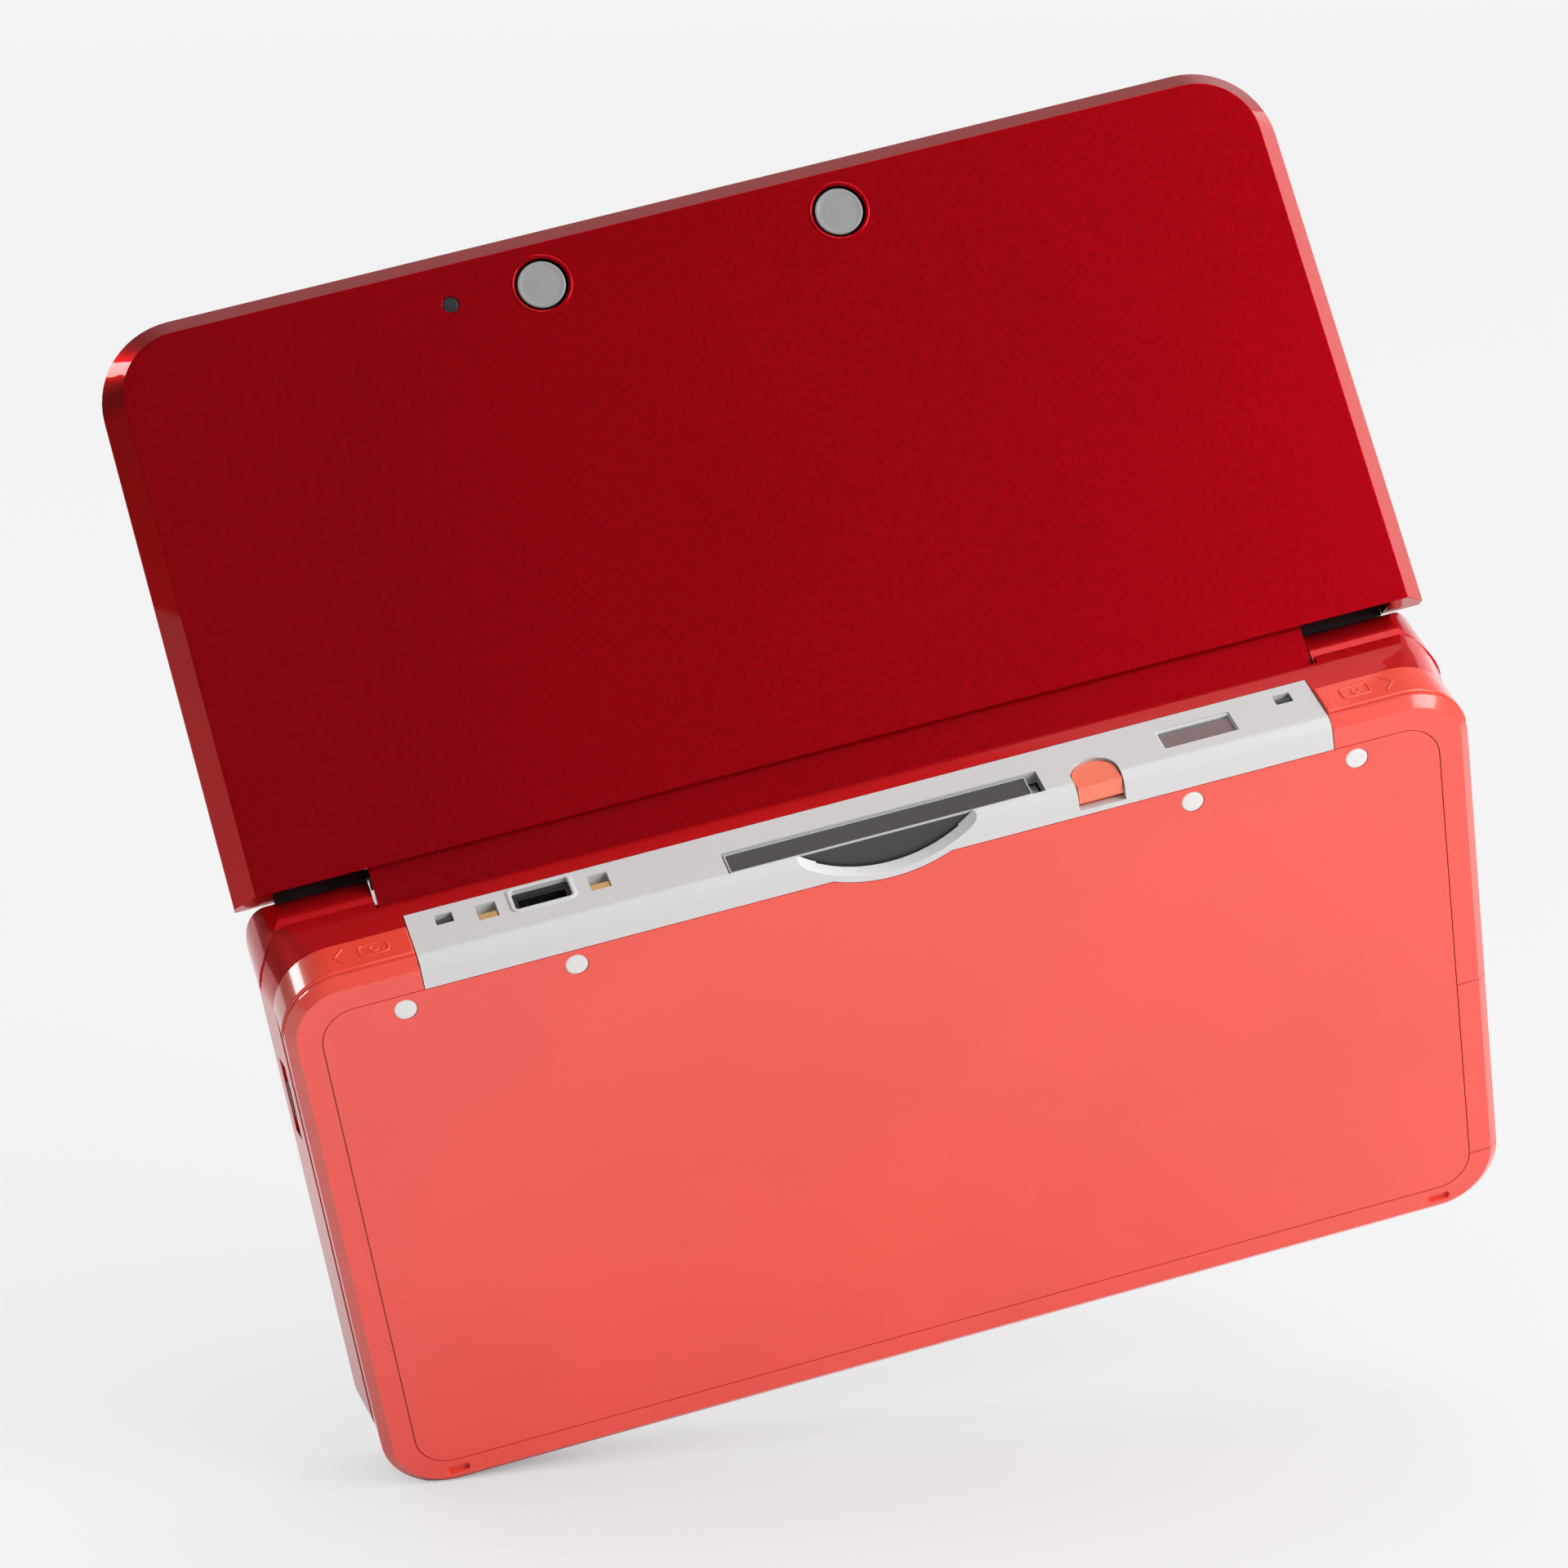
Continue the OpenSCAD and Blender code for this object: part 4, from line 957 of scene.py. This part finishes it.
    def cross(self, half: float, arm: float, soft: float) -> np.ndarray:
        """Outline of a plus sign with softened outer corners and nearly sharp inner ones.

        Args:
            half: distance from the middle to the end of an arm.
            arm: half an arm's width.
            soft: distance from an outer corner at which its rounding starts.

        Returns:
            Points of shape (n, 2) about the origin.
        """
        turn = np.arange(4)[:, None] * math.pi / 2
        u, v = np.array([(half, -arm), (half, arm), (arm, arm)]).T
        turned = [u * np.cos(turn) - v * np.sin(turn), u * np.sin(turn) + v * np.cos(turn)]
        loop = np.stack(turned, -1).reshape(-1, 2)
        middle = (loop[:1] + loop[-1:]) / 2
        radii = np.tile([soft, soft, 0.12], 4)
        return softened_line(np.concatenate([middle, loop, middle]), radii, 5)[:-1]

    def dpad_cap(self) -> None:
        """Cross pad with a dished middle: rings of the cross shrunk towards its middle.

        Each ring is the outline times a share. Within the dish's radius the top sinks towards the middle
        as half a cosine wave does.
        """
        x, y, width, arm = self.dpad
        loop = self.cross(width / 2 - 0.02, arm / 2 - 0.02, 0.8)
        share = np.concatenate([[1, 1, 0.985, 0.95], np.linspace(0.88, 0.02, 22)])[:, None, None]
        flat = loop * share
        radius, depth = self.dish
        reach = np.clip(np.linalg.norm(flat, axis=-1, keepdims=True) / radius, 0, 1)
        rise = self.cap_top - 0.04 - depth * (1 + np.cos(reach * math.pi)) / 2
        rise[:3] = np.array([9.92, self.cap_top - 0.3, self.cap_top - 0.1])[:, None, None]
        skin = Skin().tower(np.concatenate([flat + np.array([x, y]), rise], -1))
        stem = np.array([[1.6, 8.9], [1.6, 9.9], [10.2, 9.9], [10.2, 10.5], [1.0, 10.5]])
        skin.tower(lathe((x, y), stem))
        skin.piece("dpad_dish", "dpad", "control_grey", stands_for=("dpad",))

    def power_cap(self) -> None:
        """Power button: a shallow dome with a bell-shaped hollow in its middle, turned about its axis."""
        x, y, radius = self.power
        r = np.linspace(radius - 0.3, 0.03, 18)
        height = self.deck_z + 0.25 - 0.12 * (r / radius) ** 2 - 0.1 * np.exp(-((r / 0.9) ** 2))
        top = np.stack([r, height], -1)
        line = np.concatenate([self.stem(radius, 0.7, top[0]), top[1:]])
        skin = Skin().tower(lathe((x, y), line, 72))
        skin.piece("power_dome", "power_button", "key_silver", stands_for=("power_button",))

    def build(self) -> None:
        """Makes every piece of the deck."""
        eased("upper_shell", "shell_red", 0.2)
        self.face_buttons()
        self.pad_cap()
        self.pad_well()
        self.dpad_cap()
        self.power_cap()
        for node in ("select_button", "home_button", "start_button"):
            eased(node, "key_silver", 0.3)
        eased("touch_panel", "screen_black", 0.1)
        plate = display_plate(level(self.deck_z - self.glass_drop), *self.display)
        plate.piece("lower_display", "base", "screen_module")
        eased("volume_slider", "black_plastic", 0.2)
        eased("wireless_switch", "black_plastic", 0.2)


@dataclass
class RearParts:
    """What shows in the openings of the rear band.

    The port is given by half its width, its heights and its corner radius, and the card and the infrared
    window by their sides.
    """

    port_x: float = 35.7
    port: Quad = (3.1, 4.5, 8.0, 0.35)
    card: Quad = (-17.2, 1.35, 16.2, 4.85)
    card_back: float = 36.55
    ir: Quad = (-40.8, 2.93, -32.4, 6.63)

    @staticmethod
    def rim(name: str, box: Quad, radius: float, line: Rows, soft: float) -> None:
        """Rim round an opening: a rounded rectangle carried over a small rounded step.

        Args:
            name: the piece's name.
            box: the opening's sides.
            radius: its corner radius.
            line: corners of the step, each a margin and a height.
            soft: distance from a corner of the step at which its rounding starts.
        """
        step = softened_line(line, soft, 4)
        rings = frame_rings(REAR, box, radius, np.concatenate([step, step[:1]]))
        Skin().grid(rings).piece(name, "base", "pale_band")

    def port_frame(self) -> None:
        """Raised rim round the charge port."""
        half, low, high, radius = self.port
        box = (-self.port_x - half, low, -self.port_x + half, high)
        line = [(-0.02, -1.2), (-0.02, 0.1), (0.14, 0.16), (0.42, 0.14), (0.52, 0.0), (0.52, -0.3)]
        self.rim("port_rim", box, radius, line, 0.08)

    def port_tongue(self) -> None:
        """Contact tongue of the charge port: a rounded slab with a row of seven shallow ribs.

        Each rib is a half-sine bump in the slab's height along its width.
        """
        half, _, high, _ = self.port
        x = np.linspace(-half + 0.35, half - 0.35, 85) - self.port_x
        rib = 0.06 * np.clip(np.sin((x - x[0]) / (x[-1] - x[0]) * 14 * math.pi), 0, 1)
        top, low = high - 0.55 + 0 * x, high - 1.15 - rib
        flat = np.concatenate([np.stack([x, top], -1), np.stack([x, low], -1)[::-1]])
        line = [(1.0, -4.5), (1.0, -0.75), (0.985, -0.6), (0.95, -0.55)]
        middle = flat.mean(0)
        rings = np.stack([REAR.lift(middle + (flat - middle) * k, h) for k, h in line])
        Skin().tower(rings).piece("port_tongue", "base", "port_black")

    def card_highlight_bead(self) -> None:
        """Thin bead round the back face of the game card, whose pale finish is a painted highlight of the
        card's bevelled edge.
        """
        x0, z0, x1, z1 = self.card
        plane = rearward(self.card_back)
        loop = round_loop(-x1 + 0.09, z0 + 0.09, -x0 - 0.09, z1 - 0.09, 0.25, 6)
        rings = bead(loop, plane, 0.2, 0.09, True)
        # pale key_silver here paints the highlight along the card's edge, brighter than the card's own grey
        Skin().grid(rings).piece("card_highlight_bead", "game_card", "key_silver")

    def card_shade_plate(self) -> None:
        """Dark plate on the underside of the game card, darker than the card's own grey: painted shade on
        the face that looks down. It is a rounded rectangle with an eased rim.
        """
        x0, z0, x1, _ = self.card
        box = (x0 + 0.7, -self.card_back + 0.25, x1 - 0.7, -self.card_back + 14.0)
        line = np.array([(0.0, -0.05), (0.0, 0.01), (-0.04, 0.03)])
        rings = frame_rings(beneath(z0), box, 0.5, line)
        # control_grey, darker than card_grey, paints the shade on the card's underside
        Skin().tower(rings).piece("card_shade_plate", "game_card", "control_grey")

    def window_lip(self) -> None:
        """Lip round the infrared window, inside the band's opening."""
        x0, z0, x1, z1 = self.ir
        line = [(0.02, -0.9), (0.02, -0.12), (-0.1, -0.16), (-0.22, -0.3), (-0.22, -0.9)]
        self.rim("window_lip", (-x1, z0, -x0, z1), 0.12, line, 0.06)

    def build(self) -> None:
        """Makes every piece behind the band."""
        self.port_frame()
        self.port_tongue()
        self.card_highlight_bead()
        self.card_shade_plate()
        self.window_lip()
        eased("stylus", "stylus_coral", 0.3, 12.0)
        eased("game_card", "card_grey", 0.16)
        eased("sd_card", "card_blue", 0.2)
        eased("ir_window", "ir_dark", 0.15)
        eased("cradle_contacts", "gold", 0.2)
        eased("strap_bars", "control_grey", 0.1)


# ---------- stage ----------


@dataclass(frozen=True)
class Lamp:
    """Square soft lamp that faces the part.

    Its place is metres to the picture's right, up and towards the camera, and its size is one side in
    metres. Glossy surfaces show it where mirrored is true.
    """

    name: str
    at: Triple
    size: float
    watts: float
    colour: RGB = (1.0, 0.99, 0.98)
    mirrored: bool = True

    def build(self, axes: Axes, middle: Vector) -> None:
        """Makes the lamp.

        Args:
            axes: the picture's right, up and towards-the-camera directions.
            middle: the place that it faces.
        """
        data = bpy.data.lights.new(self.name, "AREA")
        data.size = self.size
        data.energy = self.watts
        data.color = self.colour
        made = linked(self.name, data)
        made.visible_glossy = self.mirrored
        place = middle + Vector(sum(a * d for a, d in zip(axes, self.at)).tolist())
        turn = (middle - place).to_track_quat("-Z", "Y").to_matrix().to_4x4()
        made.matrix_world = Matrix.Translation(place) @ turn


LAMPS = (
    Lamp("top_light", (0.35, 1.5, 0.35), 1.2, 10.5, (1.0, 0.99, 0.97)),
    Lamp("key_light", (0.90, 0.55, 0.80), 0.7, 9.0),
    Lamp("edge_light", (0.95, 0.42, -0.80), 0.9, 3.0),
    Lamp("corner_light", (-0.90, 0.60, -0.56), 0.26, 1.6, (1.0, 1.0, 1.0)),
    Lamp("fill_light", (0.36, 0.06, 0.27), 0.22, 0.55, mirrored=False),
)


@dataclass
class Studio:
    """Camera, pale floor and soft light.

    Right, down and ahead are the camera's directions, and eye is its place in millimetres. The floor
    goes through foot, in millimetres, and is half_width wide there on each side, in metres, and wider by
    widening for each metre towards the back. Paper is its white, which is also the camera's view of
    the room.
    """

    right: Triple = (-0.95883, -0.13258, -0.25114)
    down: Triple = (0.25023, -0.81258, -0.5264)
    ahead: Triple = (-0.13428, -0.56757, 0.8123)
    eye: Triple = (81.414, 351.912, -436.488)
    lens: float = 118.72
    middle: Triple = (0.0, 0.02, 0.03)
    pitch: float = 15.0
    foot: Triple = (59.5, -33.0, 1.0)
    half_width: float = 0.62
    widening: float = 0.22
    floor_gap: float = 0.0006
    floor_colour: RGB = (0.85, 0.86, 0.86)
    paper: float = 0.935
    paper_share: float = 0.85
    shade_reach: float = 0.1
    shade_power: float = 0.22
    fade: Pair = (0.5, 2.2)
    room: Pair = (0.14, 0.34)
    wall: Quad = (0.7, 0.93, 0.0, 0.72)

    def axes(self) -> Axes:
        """Picture's right, up and towards-the-camera directions in the row frame."""
        return np.array(self.right), -np.array(self.down), -np.array(self.ahead)

    def camera(self) -> None:
        """Camera at the fitted place."""
        data = bpy.data.cameras.new("camera")
        data.lens = self.lens
        data.sensor_width = 36.0
        data.clip_start, data.clip_end = 0.01, 20.0
        made = linked("camera", data)
        turn = np.eye(4)
        turn[:3, :3] = np.stack(self.axes(), 1)
        turn[:3, 3] = np.array(self.eye) * MM
        made.matrix_world = Matrix(turn.tolist())
        bpy.context.scene.camera = made

    def floor_axes(self) -> Axes:
        """Directions of the floor.

        Returns:
            Its directions across and away from the camera, and its normal.
        """
        _, up, near = self.axes()
        pitch = math.radians(self.pitch)
        normal = up * math.cos(pitch) + near * math.sin(pitch)
        along = np.cross([1.0, 0.0, 0.0], normal)
        along /= np.linalg.norm(along)
        return np.cross(along, normal), along, normal

    def floor(self) -> None:
        """Pale floor under the tipped part, wider towards the back."""
        across, along, normal = self.floor_axes()
        foot = np.array(self.foot) * MM
        u, v = np.meshgrid(np.linspace(-1, 1, 5), np.linspace(-0.6, 3, 13))
        u = u * (self.half_width + self.widening * np.maximum(v, 0))
        points = foot + u[..., None] * across + v[..., None] * along - normal * self.floor_gap
        mesh = Skin().grid(points / MM, closed=False).mesh("floor")
        if mesh.polygons[0].normal.dot(Vector(normal)) < 0:
            mesh.flip_normals()
        made = linked("floor", mesh)
        mesh.materials.append(self.floor_material())

    def floor_material(self) -> bpy.types.Material:
        """Matt paper with a faint mottle, most of its look a plain white that darkens close to the part,
        where ambient occlusion paints its shadow.

        It fades out towards the back, and is clear from below.

        Returns:
            The floor's material.
        """
        made = bpy.data.materials.new("floor_finish")
        made.use_nodes = True
        nodes = Shading(made.node_tree)
        place = nodes.add("TexCoord").outputs["Object"]
        mottle = nodes.drifting(nodes.noise(place, 4.0, 2.0), self.floor_colour, 0.006)
        look = {"Base Color": mottle, "Roughness": 0.9, "Specular IOR Level": 0.1}
        matt = nodes.fill(nodes.held("BSDF_PRINCIPLED"), look)
        path = nodes.add("LightPath").outputs
        seen = nodes.reckon("MAXIMUM", path["Is Camera Ray"], path["Is Glossy Ray"])
        seen = nodes.reckon("MAXIMUM", seen, path["Is Transmission Ray"])
        # ambient occlusion darkens the paper's emission near the part: a painted shadow, not one cast by
        # the lamps
        near = nodes.add("AmbientOcclusion", {"Distance": self.shade_reach}, samples=8)
        # glossy rays get a higher power, so the floor seen in reflections is darker near the part: a
        # painted reflection of that shadow
        power = nodes.reckon("ADD", path["Is Glossy Ray"], self.shade_power)
        open_sky = nodes.reckon("POWER", near.outputs["AO"], power)
        paper = nodes.add("Emission", {"Strength": nodes.reckon("MULTIPLY", open_sky, self.paper)})
        share = nodes.reckon("MULTIPLY", seen, self.paper_share)
        floor = nodes.add("MixShader", {0: share, 1: matt.outputs["BSDF"], 2: paper.outputs["Emission"]})
        along = self.floor_axes()[1]
        start = float(np.dot(self.foot, along)) * MM
        ends = (start + self.fade[0], start + self.fade[1], 0.0, 1.0)
        far = nodes.ranged(nodes.along(place, along), ends, **SMOOTH)
        gone = nodes.reckon("MAXIMUM", nodes.add("NewGeometry").outputs["Backfacing"], far)
        clear = nodes.add("BsdfTransparent").outputs["BSDF"]
        mix = nodes.add("MixShader", {0: gone, 1: floor.outputs["Shader"], 2: clear})
        nodes.fill(nodes.held("OUTPUT_MATERIAL"), {"Surface": mix.outputs["Shader"]})
        return made

    def world(self) -> None:
        """Dim room, brighter to the right, with a white wall straight behind the part."""
        world = bpy.data.worlds.new("room")
        bpy.context.scene.world = world
        world.use_nodes = True
        nodes = Shading(world.node_tree)
        right, _, near = self.axes()
        place = nodes.add("TexCoord").outputs["Generated"]
        room = nodes.ranged(nodes.along(place, right), (-1.0, 1.0, *self.room), **SMOOTH)
        wall = nodes.ranged(nodes.along(place, -near), self.wall, **SMOOTH)
        camera = nodes.add("LightPath").outputs["Is Camera Ray"]
        seen = nodes.add("Mix", {"Factor": camera, "A": nodes.reckon("ADD", room, wall), "B": self.paper})
        inputs = {"Color": (1.0, 1.0, 1.0, 1), "Strength": seen.outputs["Result"]}
        nodes.fill(nodes.held("BACKGROUND"), inputs)

    def build(self) -> None:
        """Sets up the whole stage."""
        self.camera()
        self.floor()
        self.world()
        for lamp in LAMPS:
            lamp.build(self.axes(), Vector(self.middle))
        bpy.context.scene.view_settings.view_transform = "Standard"


def dress_nodes() -> None:
    """Gives every CAD node the finish of the slot that its solids name."""
    for name, node in frame["nodes"].items():
        for entry in node.material_slots:
            slot = entry.material.name.split(".")[0]
            entry.material = PALETTE[slot]
        LOG.info("node %s: %d finishes", name, len(node.material_slots))


def main() -> None:
    logging.basicConfig(level=logging.INFO, format="%(name)s: %(message)s")
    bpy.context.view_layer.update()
    dress_nodes()
    for part in (Lid(), Underside(), Shoulder(-1), Shoulder(1), Deck(), RearParts()):
        part.build()
    Studio().build()


if __name__ == "__main__":
    main()
